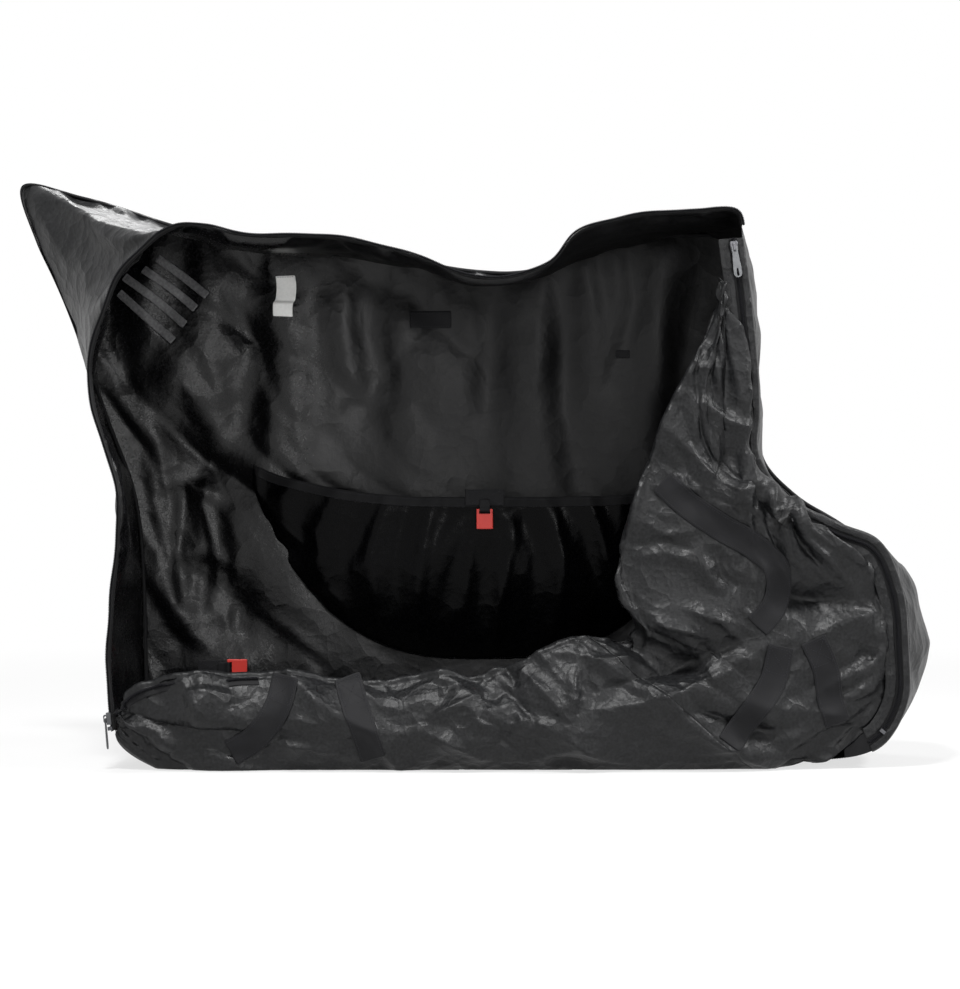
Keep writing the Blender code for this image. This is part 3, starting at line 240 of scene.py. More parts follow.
# %% [markdown]
# ## Finishes
#
# Black is the hardest colour to make. What the eye reads on black nylon isn't its colour but how
# its yarns scatter light, so each cloth gets its own weave as relief, a roughness that drifts, and
# a colour that varies a little. Shader maths is long to wire by hand, so a small class stands for
# a socket and lets Python's operators add the Math nodes.


# %% Sockets that can be added and multiplied
class Wire:
    """One output socket of a finish or of the sky. Python's operators on it add Math nodes."""

    def __init__(self, finish, socket):
        self.finish, self.socket = finish, socket

    def math(self, operation, *others):
        sockets = dict(enumerate((self, *others)))
        return self.finish.node("ShaderNodeMath", {"operation": operation}, sockets)

    def __add__(self, other):
        return self.math("ADD", other)

    def __sub__(self, other):
        return self.math("SUBTRACT", other)

    def __mul__(self, other):
        return self.math("MULTIPLY", other)

    def __truediv__(self, other):
        return self.math("DIVIDE", other)

    def __pow__(self, other):
        return self.math("POWER", other)

    __radd__ = __add__


class Shading:
    """The nodes of a material or of the sky."""

    def __init__(self, tree):
        self.tree = tree

    def node(self, kind, settings, sockets, output=0):
        """Any node: its type, its settings, then a value or a wire for each socket. Returns one output."""
        made = self.tree.nodes.new(kind)
        for name, value in settings.items():
            setattr(made, name, value)
        for key, value in sockets.items():
            if isinstance(value, Wire):
                self.tree.links.new(value.socket, made.inputs[key])
            else:
                made.inputs[key].default_value = value
        return Wire(self, made.outputs[output])

    def seen_directly(self):
        """1 for rays that come from the camera, from a mirror or through glass, else 0."""
        kinds = ("Is Camera Ray", "Is Glossy Ray", "Is Transmission Ray")
        camera, glossy, through = (self.node("ShaderNodeLightPath", {}, {}, kind) for kind in kinds)
        return camera.math("MAXIMUM", glossy).math("MAXIMUM", through)


class Finish(Shading):
    """A material with one Principled shader. What is the same all over is set on the shader's own sockets."""

    def __init__(self, name, fixed):
        self.material = bpy.data.materials.new(name)
        self.material.use_nodes = True
        super().__init__(self.material.node_tree)
        self.shader = self.tree.nodes["Principled BSDF"]
        for socket, value in fixed.items():
            self.shader.inputs[socket].default_value = value

    def drive(self, socket, wire):
        self.tree.links.new(wire.socket, self.shader.inputs[socket])

    def relief(self, height):
        """Height in metres becomes the shader's normal, through one Bump node."""
        sockets = {"Strength": 1.0, "Distance": 1.0, "Height": height}
        self.drive("Normal", self.node("ShaderNodeBump", {}, sockets))

    def place(self):
        """Object coordinates, which are metres in the bag's own frame."""
        return self.node("ShaderNodeTexCoord", {}, {}, "Object")

    def along_cloth(self):
        """The piece's own UV map, in metres along and across the cloth."""
        uv = self.node("ShaderNodeUVMap", {"uv_map": "cloth"}, {})
        return [self.node("ShaderNodeSeparateXYZ", {}, {0: uv}, axis) for axis in (0, 1)]

    def noise(self, scale, detail, stretch=(1, 1, 1)):
        """Noise from 0 to 1 on Object coordinates, drawn out by a stretch on each axis."""
        drawn = self.node("ShaderNodeMapping", {}, {"Vector": self.place(), "Scale": stretch})
        return self.node("ShaderNodeTexNoise", {}, {"Vector": drawn, "Scale": scale, "Detail": detail})

    def facets(self, scale, bend):
        """Bowls that meet in creases: the square of the distance in a Voronoi pattern that noise has bent."""
        place = self.place()
        sockets = {"Vector": place, "Scale": scale * 0.4, "Detail": 2.0}
        swirl = self.node("ShaderNodeTexNoise", {}, sockets, "Color")
        sway = self.node("ShaderNodeVectorMath", {"operation": "SCALE"}, {0: swirl, "Scale": bend / scale * 3})
        bent = self.node("ShaderNodeVectorMath", {"operation": "ADD"}, {0: place, 1: sway})
        return self.node("ShaderNodeTexVoronoi", {}, {"Vector": bent, "Scale": scale}, "Distance") ** 2

    def blend_colour(self, share, low, high):
        sockets = {0: share, 6: (*low, 1), 7: (*high, 1)}
        return self.node("ShaderNodeMix", {"data_type": "RGBA"}, sockets, 2)


print("nodes are wired by", Finish.__name__, "and", Wire.__name__)

# %% [markdown]
# A plain weave rises where a warp yarn crosses over and falls where the weft does: the product of
# two sines says that. Nylon also keeps the memory of how it was packed, as small facets between
# sharp creases. Voronoi cells give those: the square of the distance to a cell's middle is a bowl,
# and two bowls meet in a crease. Webbing is a coarse twill, ribbed along its length, and the yarn
# of a zip tape is finer.


# %% Woven finishes
def woven(name, low, high, roughness, yarn, depth, crease, grit, fixed, worn=0.0):
    """Cloth: the weave's pitch and relief, the height of packed-in creases and of the grit, all in metres.

    Worn is how much glossier the cloth is towards the left, where it has been handled most.
    """
    finish = Finish(name, fixed)
    u, v = finish.along_cloth()
    turn = 2 * math.pi / yarn
    weave = (u * turn).math("SINE") * (v * turn).math("SINE")
    drift = finish.noise(7.0, 4.0)
    grain = finish.noise(260.0, 2.0)
    wide, small = finish.facets(34.0, 0.5), finish.facets(110.0, 0.5)
    share = drift * 0.5 + (grain - 0.5) * 1.8 + 0.25
    finish.drive("Base Color", finish.blend_colour(share, low, high))
    gloss = roughness + (drift - 0.5) * 0.16 + (grain - 0.5) * 0.20
    if worn:
        x = finish.node("ShaderNodeSeparateXYZ", {}, {0: finish.place()})
        gloss = gloss + (x * 2.2 + 0.3).math("MINIMUM", 0.4).math("MAXIMUM", -0.4) * worn
    finish.drive("Roughness", gloss)
    finish.relief(weave * depth + (wide + small * 0.2) * crease + grain * grit)
    return finish.material


def ribbed(name, low, high, roughness, rib, pick, depth):
    """Webbing: ribs along the strap, a rib wide, crossed by a twill that steps on with every rib."""
    finish = Finish(name, {"Specular IOR Level": 0.16, "Sheen Weight": 0.03, "Sheen Roughness": 0.5})
    u, v = finish.along_cloth()
    ribs = (v * (2 * math.pi / rib)).math("SINE").math("ABSOLUTE")
    twill = ((u / pick + v / rib) * (2 * math.pi)).math("SINE")
    wear = finish.noise(60.0, 3.0)
    finish.drive("Base Color", finish.blend_colour(wear * 0.7 + ribs * 0.3, low, high))
    finish.drive("Roughness", roughness + (wear - 0.5) * 0.2)
    finish.relief(ribs * depth + twill * (depth * 0.5))
    return finish.material


NYLON = {"Specular IOR Level": 0.26}
COATED = {"Specular IOR Level": 0.32, "Coat Weight": 0.02, "Coat Roughness": 0.25}
SATIN = {"Specular IOR Level": 0.07}
LABEL = {"Sheen Weight": 0.1}
shell_fabric = woven(
    "shell_fabric", (0.0015, 0.0016, 0.0018), (0.0150, 0.0154, 0.0165), roughness=0.42,
    yarn=0.0011, depth=0.00002, crease=0.0034, grit=0.00022, fixed=NYLON,
)
coated_fabric = woven(
    "coated_fabric", (0.0006, 0.0006, 0.0008), (0.0055, 0.0055, 0.0061), roughness=0.40,
    yarn=0.0013, depth=0.00003, crease=0.0013, grit=0.00020, fixed=COATED, worn=0.35,
)
# The pocket's black is partly its own colour and partly painted shade: it is set far darker than any cloth, to
# stand for the shade deep inside the bag, low behind the front.
pocket_fabric = woven(
    "pocket_fabric", (0.0003, 0.0003, 0.0004), (0.0020, 0.0020, 0.0024), roughness=0.28,
    yarn=0.0011, depth=0.00001, crease=0.0010, grit=0.00002, fixed=SATIN,
)
tie_satin = woven(
    "pocket_fabric.tie", (0.060, 0.060, 0.062), (0.170, 0.170, 0.174), roughness=0.36,
    yarn=0.0009, depth=0.00001, crease=0.0006, grit=0.00008, fixed=NYLON,
)
label_satin = woven(
    "label_satin", (0.80, 0.80, 0.78), (0.90, 0.90, 0.88), roughness=0.45,
    yarn=0.0005, depth=0.00001, crease=0.0003, grit=0.00001, fixed=LABEL,
)
webbing = ribbed(
    "webbing", (0.0035, 0.0035, 0.004), (0.011, 0.011, 0.0125), roughness=0.60,
    rib=0.0024, pick=0.0016, depth=0.00006,
)
zip_tape = ribbed(
    "zip_tape", (0.003, 0.003, 0.0034), (0.009, 0.009, 0.010), roughness=0.66,
    rib=0.0012, pick=0.0012, depth=0.00003,
)
print("cloths:", ", ".join(m.name for m in bpy.data.materials if m.use_nodes))

# %% [markdown]
# Thread, coil, metal and plastic are small, so their relief is only scratches and grain. The
# slider is painted die-cast zinc, worn bright where fingers rub; the pull is bare and brushed.


# %% Hard finishes
def thread_finish(name, colour):
    """Twisted thread: a fine grain that varies its colour and roughness."""
    finish = Finish(name, {"Specular IOR Level": 0.12})
    grain = finish.noise(900.0, 2.0)
    high = tuple(2.4 * c for c in colour)
    finish.drive("Base Color", finish.blend_colour(grain, colour, high))
    finish.drive("Roughness", 0.65 + grain * 0.2)
    return finish.material


def metal_finish(name, low, high, roughness, stretch):
    """Metal whose scratches run one way: noise drawn out along them sets colour, roughness and relief."""
    finish = Finish(name, {"Metallic": 1.0})
    scratch = finish.noise(420.0, 4.0, stretch)
    rub = finish.noise(150.0, 3.0)
    finish.drive("Base Color", finish.blend_colour(rub * 0.6 + scratch * 0.4, low, high))
    finish.drive("Roughness", roughness + scratch * 0.18)
    finish.relief(scratch * 0.00003)
    return finish.material


def plastic_finish(name, low, high):
    """Moulded plastic: a fine sparked grain and a slightly paler bloom."""
    finish = Finish(name, {"Specular IOR Level": 0.5})
    spark, bloom = finish.noise(1100.0, 2.0), finish.noise(70.0, 3.0)
    finish.drive("Base Color", finish.blend_colour(bloom, low, high))
    finish.drive("Roughness", 0.34 + spark * 0.16)
    finish.relief(spark * 0.00004)
    return finish.material


black_thread = thread_finish("black_thread", (0.016, 0.016, 0.018))
zip_coil = thread_finish("zip_coil", (0.005, 0.005, 0.006))
slider_metal = metal_finish(
    "slider_metal", (0.035, 0.036, 0.040), (0.16, 0.16, 0.17), roughness=0.30, stretch=(1, 1, 1)
)
pull_metal = metal_finish(
    "pull_metal", (0.05, 0.052, 0.055), (0.15, 0.153, 0.158), roughness=0.28, stretch=(1, 1, 0.12)
)
red_plastic = plastic_finish("red_plastic", (0.55, 0.030, 0.022), (0.66, 0.045, 0.033))
print("finishes so far:", len(bpy.data.materials))

# %% [markdown]
# ## Cloth as a grid
#
# Every cloth here is a surface of two parameters, worked out as a whole array: rows across the
# cloth and columns along it. One function turns such a grid into a mesh with its UV map in metres,
# and another lets Blender's cloth solver settle it. The solver is given cloth a few per cent too
# large for its seams, which is what a slack bag is, so it has to buckle into wrinkles. Its seams
# are pinned, and no point may move further than a cap, so each cloth stays where its solid is.


# %% From a grid to a mesh
def grid_normals(grid):
    """Unit normals of a grid: the slope along its columns crossed with the slope along its rows."""
    return unit(np.cross(np.gradient(grid, axis=1), np.gradient(grid, axis=0)), 1e-12)


def raised(grid, height):
    """The grid with every point moved by a height along its normal."""
    return grid + grid_normals(grid) * height[:, :, None]


def lengths_over(grid):
    """Metres along the grid's mean row and up its mean column, for every point."""
    u = np.concatenate([[0], np.linalg.norm(np.diff(grid, axis=1), axis=2).mean(0).cumsum()])
    v = np.concatenate([[0], np.linalg.norm(np.diff(grid, axis=0), axis=2).mean(1).cumsum()])
    return np.stack(np.meshgrid(u, v), axis=-1)


def mesh_object(name, points, faces, materials):
    """A smooth mesh of these points and faces, in the scene."""
    mesh = bpy.data.meshes.new(name)
    mesh.from_pydata(points.tolist(), [], faces.tolist())
    mesh.shade_smooth()
    for material in materials:
        mesh.materials.append(material)
    thing = bpy.data.objects.new(name, mesh)
    bpy.context.scene.collection.objects.link(thing)
    return thing


def grid_object(name, grid, materials):
    """A mesh of quads on a grid of points, with the lengths over it as its UV map."""
    rows, columns = grid.shape[:2]
    index = np.arange(rows * columns).reshape(rows, columns)
    corners = [index[:-1, :-1], index[:-1, 1:], index[1:, 1:], index[1:, :-1]]
    quads = np.stack(corners, axis=-1).reshape(-1, 4)
    thing = mesh_object(name, grid.reshape(-1, 3), quads, materials)
    uv = lengths_over(grid).reshape(-1, 2)[quads.ravel()]
    thing.data.uv_layers.new(name="cloth").data.foreach_set("uv", uv.ravel())
    return thing


def finished_points(thing, shape):
    """The points of an object after its modifiers, in the shape of an array."""
    points = np.empty(shape, np.float32).ravel()
    evaluated = thing.evaluated_get(bpy.context.evaluated_depsgraph_get())
    evaluated.to_mesh().vertices.foreach_get("co", points)
    evaluated.to_mesh_clear()
    return points.reshape(shape).astype(float)


def give_wall(thing, thickness, levels=1):
    """Thickness behind the surface, in the second material if there is one, and rounded edges."""
    wall = thing.modifiers.new("wall", "SOLIDIFY")
    wall.thickness = thickness
    wall.offset = -1
    wall.material_offset = 1 if len(thing.data.materials) > 1 else 0
    if levels:
        smooth = thing.modifiers.new("rounded", "SUBSURF")
        smooth.levels = smooth.render_levels = levels
    return thing


def cloth_piece(name, grid, materials, nodes=(), thickness=CLOTH, levels=1):
    """A finished cloth on the bag's body, which stands for some of its solids."""
    thing = give_wall(grid_object(name, grid, materials), thickness, levels)
    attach(thing, "bag")
    if nodes:
        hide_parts(*nodes)
    return thing


# %% Cloth that settles
SETTLE_SETTINGS = {
    "quality": 5, "mass": 0.15, "tension_stiffness": 20, "compression_stiffness": 20, "shear_stiffness": 6,
    "air_damping": 2,
}


def settle(name, grid, pinned, growth, bending, frames, gravity, cap, outward_share=1.0):
    """The grid after the cloth solver: pinned points stay, the rest grows, buckles and sags, up to a cap.

    Of the part of a move that points outwards only a share is kept, so that the outline holds.
    """
    thing = grid_object(name, grid, [])
    group = thing.vertex_groups.new(name="pinned")
    group.add(np.flatnonzero(pinned.ravel()).tolist(), 1.0, "REPLACE")
    modifier = thing.modifiers.new("settle", "CLOTH")
    cloth = modifier.settings
    for setting, value in SETTLE_SETTINGS.items():
        setattr(cloth, setting, value)
    cloth.bending_stiffness = bending
    cloth.vertex_group_mass = "pinned"
    cloth.shrink_min = -growth
    cloth.effector_weights.gravity = gravity
    modifier.point_cache.frame_end = frames
    for number in range(1, frames + 1):
        bpy.context.scene.frame_set(number)
    move = finished_points(thing, grid.shape) - grid
    bpy.context.scene.frame_set(1)
    bpy.data.objects.remove(thing)
    far = np.linalg.norm(move, axis=2, keepdims=True)
    move *= np.minimum(1, cap / np.maximum(far, 1e-9))
    normals = grid_normals(grid)
    outwards = np.maximum((move * normals).sum(2, keepdims=True), 0)
    move -= normals * outwards * (1 - outward_share)
    print(name, "settled, its furthest point by", round(1000 * float(far.max()), 1), "mm")
    return grid + move


def rim_of(grid, sides="nesw"):
    """True on the chosen edges of a grid: n is its last row, s its first, w its first column and e its last."""
    rim = np.zeros(grid.shape[:2], bool)
    rim[-1] |= "n" in sides
    rim[0] |= "s" in sides
    rim[:, 0] |= "w" in sides
    rim[:, -1] |= "e" in sides
    return rim


def ripple(shape, waves, seed):
    """A slow random swell from -1 to 1 over a grid: the mean of a few sines with their own turns and phases."""
    random = np.random.default_rng(seed)
    rows, columns = np.mgrid[0 : shape[0], 0 : shape[1]]
    swell = np.zeros(shape)
    for _ in range(6):
        turn, phase = random.uniform(0, math.pi), random.uniform(0, 2 * math.pi)
        pace = random.uniform(0.6, 1.6) * waves * 2 * math.pi
        swell += np.sin(pace * (rows * math.cos(turn) + columns * math.sin(turn)) + phase)
    return swell / 6


# %% [markdown]
# The solver's wrinkles are as wide as its cells. Nylon crumples smaller than that, into facets that
# meet in sharp ridges, and black cloth shows its form by little else. Points are scattered over the
# cloth, and its height is the square of the distance to the nearest one: bowls that meet in ridges.


# %% Crumple
def crumple(grid, pitch, height, seed, stretch=1.0, turn=0.0):
    """Height over a grid: squared distance to the nearest scattered point, in a plane turned and stretched."""
    flat = lengths_over(grid)
    u, v = flat[..., 0], flat[..., 1]
    sway = np.stack([np.sin(v / pitch * 1.7 + seed), np.sin(u / pitch * 1.3 + seed)], axis=-1)
    cosine, sine = math.cos(turn), math.sin(turn)
    flat = (flat + sway * pitch * 0.18) @ np.array([[cosine, -sine], [sine, cosine]])
    flat = (flat / (1, stretch) / pitch).reshape(-1, 2)
    low, high = flat.min(0) - 1, flat.max(0) + 1
    random = np.random.default_rng(seed)
    seeds = random.uniform(low, high, (int(np.prod(high - low)) + 1, 2))
    nearest = np.full(len(flat), np.inf)
    for part in np.array_split(seeds, max(1, len(seeds) // 40)):
        away = ((flat[:, None] - part[None]) ** 2).sum(2)
        nearest = np.minimum(nearest, away.min(1))
    patchy = np.clip(0.7 + 1.6 * ripple(grid.shape[:2], 0.012, seed), 0.15, 1.2)
    return height * np.minimum(nearest, 1.2).reshape(grid.shape[:2]) * patchy


def faded(shape, cells):
    """1 over a grid, down to 0 over some cells at all its edges."""
    near = np.minimum(*np.ogrid[0 : shape[0], 0 : shape[1]])
    return np.clip(np.minimum(near, near[::-1, ::-1]) / cells, 0, 1)


# %% [markdown]
# ## The gusset
#
# The gusset is one band of cloth round the bag, in six lengths seamed end to end. It could be six
# meshes, but then wrinkles would stop at the seams. So the band is settled whole, and cut at its
# joints afterwards.

# %% The band between the two seams
BAND_STEP = 0.010
BAND_ROWS = 25
GUSSET_JOINTS = {
    "base_gusset": (34.0, 39.2),
    "left_gusset": (1.2, 7.0),
    "corner_gusset": (7.0, 13.0),
    "top_gusset": (13.0, 23.5),
    "right_upper_gusset": (23.5, 27.5),
    "right_lower_gusset": (27.5, 34.0),
}
NEAR_ZERO = 1e-6
ON_FLOOR = 0.004
END_FOLD_HEIGHT, END_FOLD_COUNT, END_FOLD_SLANT = 0.009, 3.5, 0.35
CROWN_STATIONS, CROWN_SHARES = (0, 1, 12, 13.5, 23, 24.5), (1, 0.5, 0.5, 0.05, 0.05, 1)


def end_folds(at, front, w):
    """The left end's slanting folds: a sine of the height, under half a sine that fades out at both ends."""
    first, last = GUSSET_JOINTS["left_gusset"]
    low, high = zip_line([first])[0, 2], zip_line([last])[0, 2]
    station = np.mod(at, STATIONS)
    share = np.where((station > first) & (station < last), (front[:, 2] - low) / (high - low), 0)
    share = np.clip(share, 0, 1)[None, :, None]
    turns = END_FOLD_COUNT * share + END_FOLD_SLANT * w
    return END_FOLD_HEIGHT * np.sin(math.pi * share) * np.sin(2 * math.pi * turns)


def gusset_face(at):
    """From zip line to back seam in straight rulings, bowed outwards by half a sine wave times the crown."""
    front, rear = zip_line(at), back_seam(at)
    rear[:, 1] += CLOTH
    crown = BACK_SEAM_SHARES[:, 2] * DEPTH
    bow = np.interp(np.mod(at, STATIONS), np.arange(STATIONS + 1), np.append(crown, crown[0]))
    bow = bow * np.interp(np.mod(at, STATIONS), CROWN_STATIONS, CROWN_SHARES)
    w = np.linspace(0, 1, BAND_ROWS)[:, None, None]
    grid = front[None] * (1 - w) + rear[None] * w
    grid += np.sin(math.pi * w) * (bow[None, :, None] + end_folds(at, front, w)) * outward(at)[None]
    keep_above(grid)
    return grid


def between(first, last):
    """True at the band's columns from one station to another."""
    return (band_at > first - NEAR_ZERO) & (band_at < last + NEAR_ZERO)


joint_stations = sorted({station for pair in GUSSET_JOINTS.values() for station in pair})
band_at = np.unique(np.concatenate([
    even_stations(first, last, BAND_STEP) for first, last in zip(joint_stations, joint_stations[1:])
]))
band = gusset_face(band_at)
on_floor = band[:, :, 2] < ON_FLOOR
arch = np.sin(np.linspace(0, math.pi, BAND_ROWS))[:, None]
band = raised(band, np.where(on_floor, 0, ripple(band.shape[:2], waves=0.03, seed=3) * arch * 0.002))
band = settle(
    "gusset_band", band, rim_of(band) | on_floor,
    growth=0.055, bending=3.0, frames=34, gravity=0.3, cap=0.012, outward_share=0.25,
)
creases = crumple(band, pitch=0.080, height=0.010, seed=11, stretch=1.6)
creases -= crumple(band, pitch=0.036, height=0.004, seed=12)
band = raised(band, -creases * (arch**0.5 * ~on_floor))
keep_above(band)
print("gusset band:", band.shape[1], "columns by", band.shape[0], "rows")

# %% Six lengths of gusset
gusset_pieces = {}
for node, (first, last) in GUSSET_JOINTS.items():
    inside = np.flatnonzero(between(first, last))
    lapped = np.concatenate([[max(inside[0] - 1, 0)], inside, [min(inside[-1] + 1, len(band_at) - 1)]])
    part = band[:, lapped].copy()
    part[:, 0] -= grid_normals(band)[:, lapped[0]] * CLOTH
    piece = cloth_piece(node + "_cloth", part, [shell_fabric, coated_fabric], [node])
    gusset_pieces[node] = piece
print("gusset in", len(gusset_pieces), "pieces")

# %% [markdown]
# ## Folds that are set in pixels
#
# A solver makes cloth look like cloth, but not like this cloth: the deep folds of the photograph
# have their own places. Each is a line of pixels with a height and two widths, one for the side on
# the left of someone walking the line and one for the right, because a fold that leans is steep on
# one side. The height at a point is the fold's height, times a bell of the distance to the line
# over the width, times half a sine wave along the line, so a fold fades out at both ends.


# %% How far a fold lifts each point
BELL_POWER = 1.2
END_POWER = 0.6


def fold_height(pixels, folds):
    """The sum over all folds of height times exp(-(distance / width) ** power) times sin(pi share) ** power.

    A fold is its height in millimetres, its widths to the left and right, then x and y of each pixel.
    """
    flat = pixels.reshape(-1, 2)
    total = np.zeros(len(flat))
    for height, left, right, *line in folds:
        line = np.array(line, float).reshape(-1, 2)
        span = np.diff(line, axis=0)
        long = np.linalg.norm(span, axis=1)
        offset = flat[:, None] - line[None, :-1]
        share = np.clip((offset * span).sum(2) / long**2, 0, 1)
        near = offset - share[:, :, None] * span
        distance = np.linalg.norm(near, axis=2)
        best = distance.argmin(1)
        pick = np.arange(len(flat)), best
        side = span[best, 0] * near[pick][:, 1] - span[best, 1] * near[pick][:, 0]
        walked = (np.concatenate([[0], long.cumsum()])[best] + share[pick] * long[best]) / long.sum()
        width = np.where(side > 0, right, left)
        bell = np.exp(-((distance[pick] / width) ** BELL_POWER))
        total += height / 1000 * bell * np.sin(math.pi * np.clip(walked, 0.02, 0.98)) ** END_POWER
    return total.reshape(pixels.shape[:-1])


def blurred(values, cells, axis):
    """Values averaged along an axis under a bell that is some cells wide."""
    reach = int(math.ceil(2 * cells))
    weights = np.exp(-0.5 * (np.arange(-reach, reach + 1) / cells) ** 2)
    sides = [(reach, reach) if k == axis else (0, 0) for k in range(values.ndim)]
    padded = np.pad(values, sides, "edge")
    shifted = [np.take(padded, np.arange(values.shape[axis]) + k, axis) for k in range(2 * reach + 1)]
    return sum(w * s for w, s in zip(weights / weights.sum(), shifted))


# %% [markdown]
# ## The back panel
#
# One large cloth, sewn to the gusset all round. Its outline has four corners that matter: the
# drawn-up tip at the upper left, the upper right, and the two ends of the base. A Coons patch
# fills four such curves: it blends left with right, blends top with bottom, and takes away the
# blend of the corners that was counted twice. Inside it is coated and almost black.

# %% Back panel
BACK_COLUMNS, BACK_ROWS = 118, 82
TIP, RIGHT_HEAD, RIGHT_FOOT, LEFT_FOOT = 11, 23, 34, 38

SWELL_HEIGHT, SWELL_HALF_WIDTH, SWELL_END_POWER = 0.010, 0.045, 0.6
BACK_SWELL_SHARES = np.array((
    (-346, 655, -316, 257), (-282, 702, -248, 561), (-150, 819, -98, 608), (15, 795, 8, 585),
    (105, 842, 90, 585), (233, 854, 226, 550), (414, 351, 432, 164),
)) / 1000

BACK_FOLDS = (
    (10, 5, 4, 148, 452, 160, 540, 150, 600, 158, 650), (10, 4, 6, 212, 446, 206, 500, 222, 560, 208, 640),
    (9, 5, 4, 232, 500, 240, 560, 228, 620, 240, 655), (-8, 4, 4, 186, 470, 178, 540, 186, 620),
    (8, 5, 5, 160, 560, 196, 545, 236, 560), (8, 4, 7, 150, 492, 184, 478, 226, 492),
    (7, 5, 5, 250, 600, 282, 618, 330, 655), (8, 9, 6, 160, 436, 173, 520, 166, 600, 172, 655),
    (7, 6, 9, 188, 446, 202, 540, 192, 600, 196, 655), (7, 8, 8, 220, 470, 228, 560, 222, 655),
    (-6, 7, 7, 150, 505, 190, 480, 240, 440), (6, 8, 12, 165, 380, 215, 395, 262, 378),
    (-6, 8, 8, 165, 392, 200, 425, 214, 470), (6, 12, 16, 590, 262, 560, 330, 520, 400, 500, 450),
    (-5, 12, 12, 650, 262, 625, 340, 590, 420), (6, 10, 14, 300, 330, 360, 380, 430, 410),
    (-5, 14, 10, 440, 300, 400, 360, 330, 420), (8, 6, 10, 290, 636, 305, 655, 325, 676),
)


def coons(bottom, top, left, right):
    """The patch inside four edges: rows run from bottom to top, columns from left to right."""
    v = np.linspace(0, 1, len(left))[:, None, None]
    u = np.linspace(0, 1, len(bottom))[None, :, None]
    ruled = (1 - v) * bottom[None] + v * top[None] + (1 - u) * left[:, None] + u * right[:, None]
    low = (1 - u) * bottom[0] + u * bottom[-1]
    high = (1 - u) * top[0] + u * top[-1]
    return ruled - (1 - v) * low - v * high


def seam_run(first, last, count):
    return back_seam(even_stations(first, last, count=count))


def back_swell(points):
    """The panel's broad outward ridges: height by a squared cosine of the distance, by half a sine along."""
    total = np.zeros(points.shape[:2])
    for upper, lower in BACK_SWELL_SHARES.reshape(-1, 2, 2) * SPAN:
        span = lower - upper
        long = np.linalg.norm(span)
        offset = points[..., [0, 2]] - upper
        along = (offset @ span) / long**2
        aside = np.abs(offset[..., 0] * span[1] - offset[..., 1] * span[0]) / long / SWELL_HALF_WIDTH
        bell = np.where(aside < 1, np.cos(math.pi * aside / 2) ** 2, 0)
        total += SWELL_HEIGHT * bell * np.sin(math.pi * np.clip(along, 0, 1)) ** SWELL_END_POWER
    return total


def near_node(points, node, reach):
    """1 at a solid, down to 0 a reach away from its box, measured in X and Z."""
    low, high = (np.array(corner)[[0, 2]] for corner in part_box(node))
    flat = points[..., [0, 2]]
    away = np.linalg.norm(np.maximum(np.maximum(low - flat, flat - high), 0), axis=-1)
    return np.clip(1 - away / reach, 0, 1)


back = coons(
    seam_run(LEFT_FOOT, RIGHT_FOOT, BACK_COLUMNS),
    seam_run(TIP, RIGHT_HEAD, BACK_COLUMNS),
    seam_run(0, TIP, BACK_ROWS),
    seam_run(RIGHT_FOOT, RIGHT_HEAD, BACK_ROWS),
)
calm = 1 - np.maximum(near_node(back, "floor_buckle", 0.05), near_node(back, "floor_tab", 0.05))
calm *= faded(back.shape[:2], cells=6)
lift = fold_height(pixels_of(back), BACK_FOLDS) + 0.002 * ripple(back.shape[:2], waves=0.02, seed=8)
back[:, :, 1] -= (lift - back_swell(back)) * calm
cap = 0.009 * calm[:, :, None] + 0.0004
back = settle(
    "back_panel_cloth", back, rim_of(back), growth=0.022, bending=6.0, frames=34, gravity=0.5, cap=cap
)
lift = crumple(back, pitch=0.075, height=0.015, seed=21, stretch=1.7, turn=0.5)
lift -= crumple(back, pitch=0.040, height=0.0045, seed=22, stretch=2.0, turn=-0.2)
lift *= np.interp(np.linspace(0, 1, BACK_COLUMNS), (0.0, 0.28, 0.45, 1.0), (1.1, 1.0, 0.45, 0.30))
back[:, :, 1] += lift * calm
keep_above(back)
back_cloth = cloth_piece("back_panel_cloth", back, [coated_fabric, shell_fabric], ["back_panel"])
print("back panel:", back.shape[1], "by", back.shape[0], "points")

# %% [markdown]
# ## The front panel
#
# This is the piece that the photograph is about. It leaves its seam, which runs along the base and
# then up beside the closed zip, swells forward, climbs to a crest, rolls over it and tucks down
# inside. Along its rows it is ruled from seam to crest with a bulge of half a sine wave. The crest
# itself is drawn in pixels, because it is the bag's visible edge.

# %% Seam and crest of the front panel
TAPE_WIDTH = 0.014
EDGE_GAP = 0.0008
CLOSED_TOP_STATION = 23.85
RAMP_START_STATION = 34.25
RAMP_STATIONS = 0.35
PANEL_LEFT_STATION = 1.10
PANEL_RIGHT_STATION = 24.45
PANEL_STEP = 0.0095
BELLY = 0.040
BELLY_POWER = 0.8
HEM_LAP = 0.006
CREST_RADIUS = 0.009
TUCK_LENGTH = 0.075
TUCK_DEPTH = 0.014
TUCK_SHARE = 0.6
BODY_ROWS, ROLL_ROWS, TUCK_ROWS = 48, 6, 6
CREST_ROW = 2 * BODY_ROWS

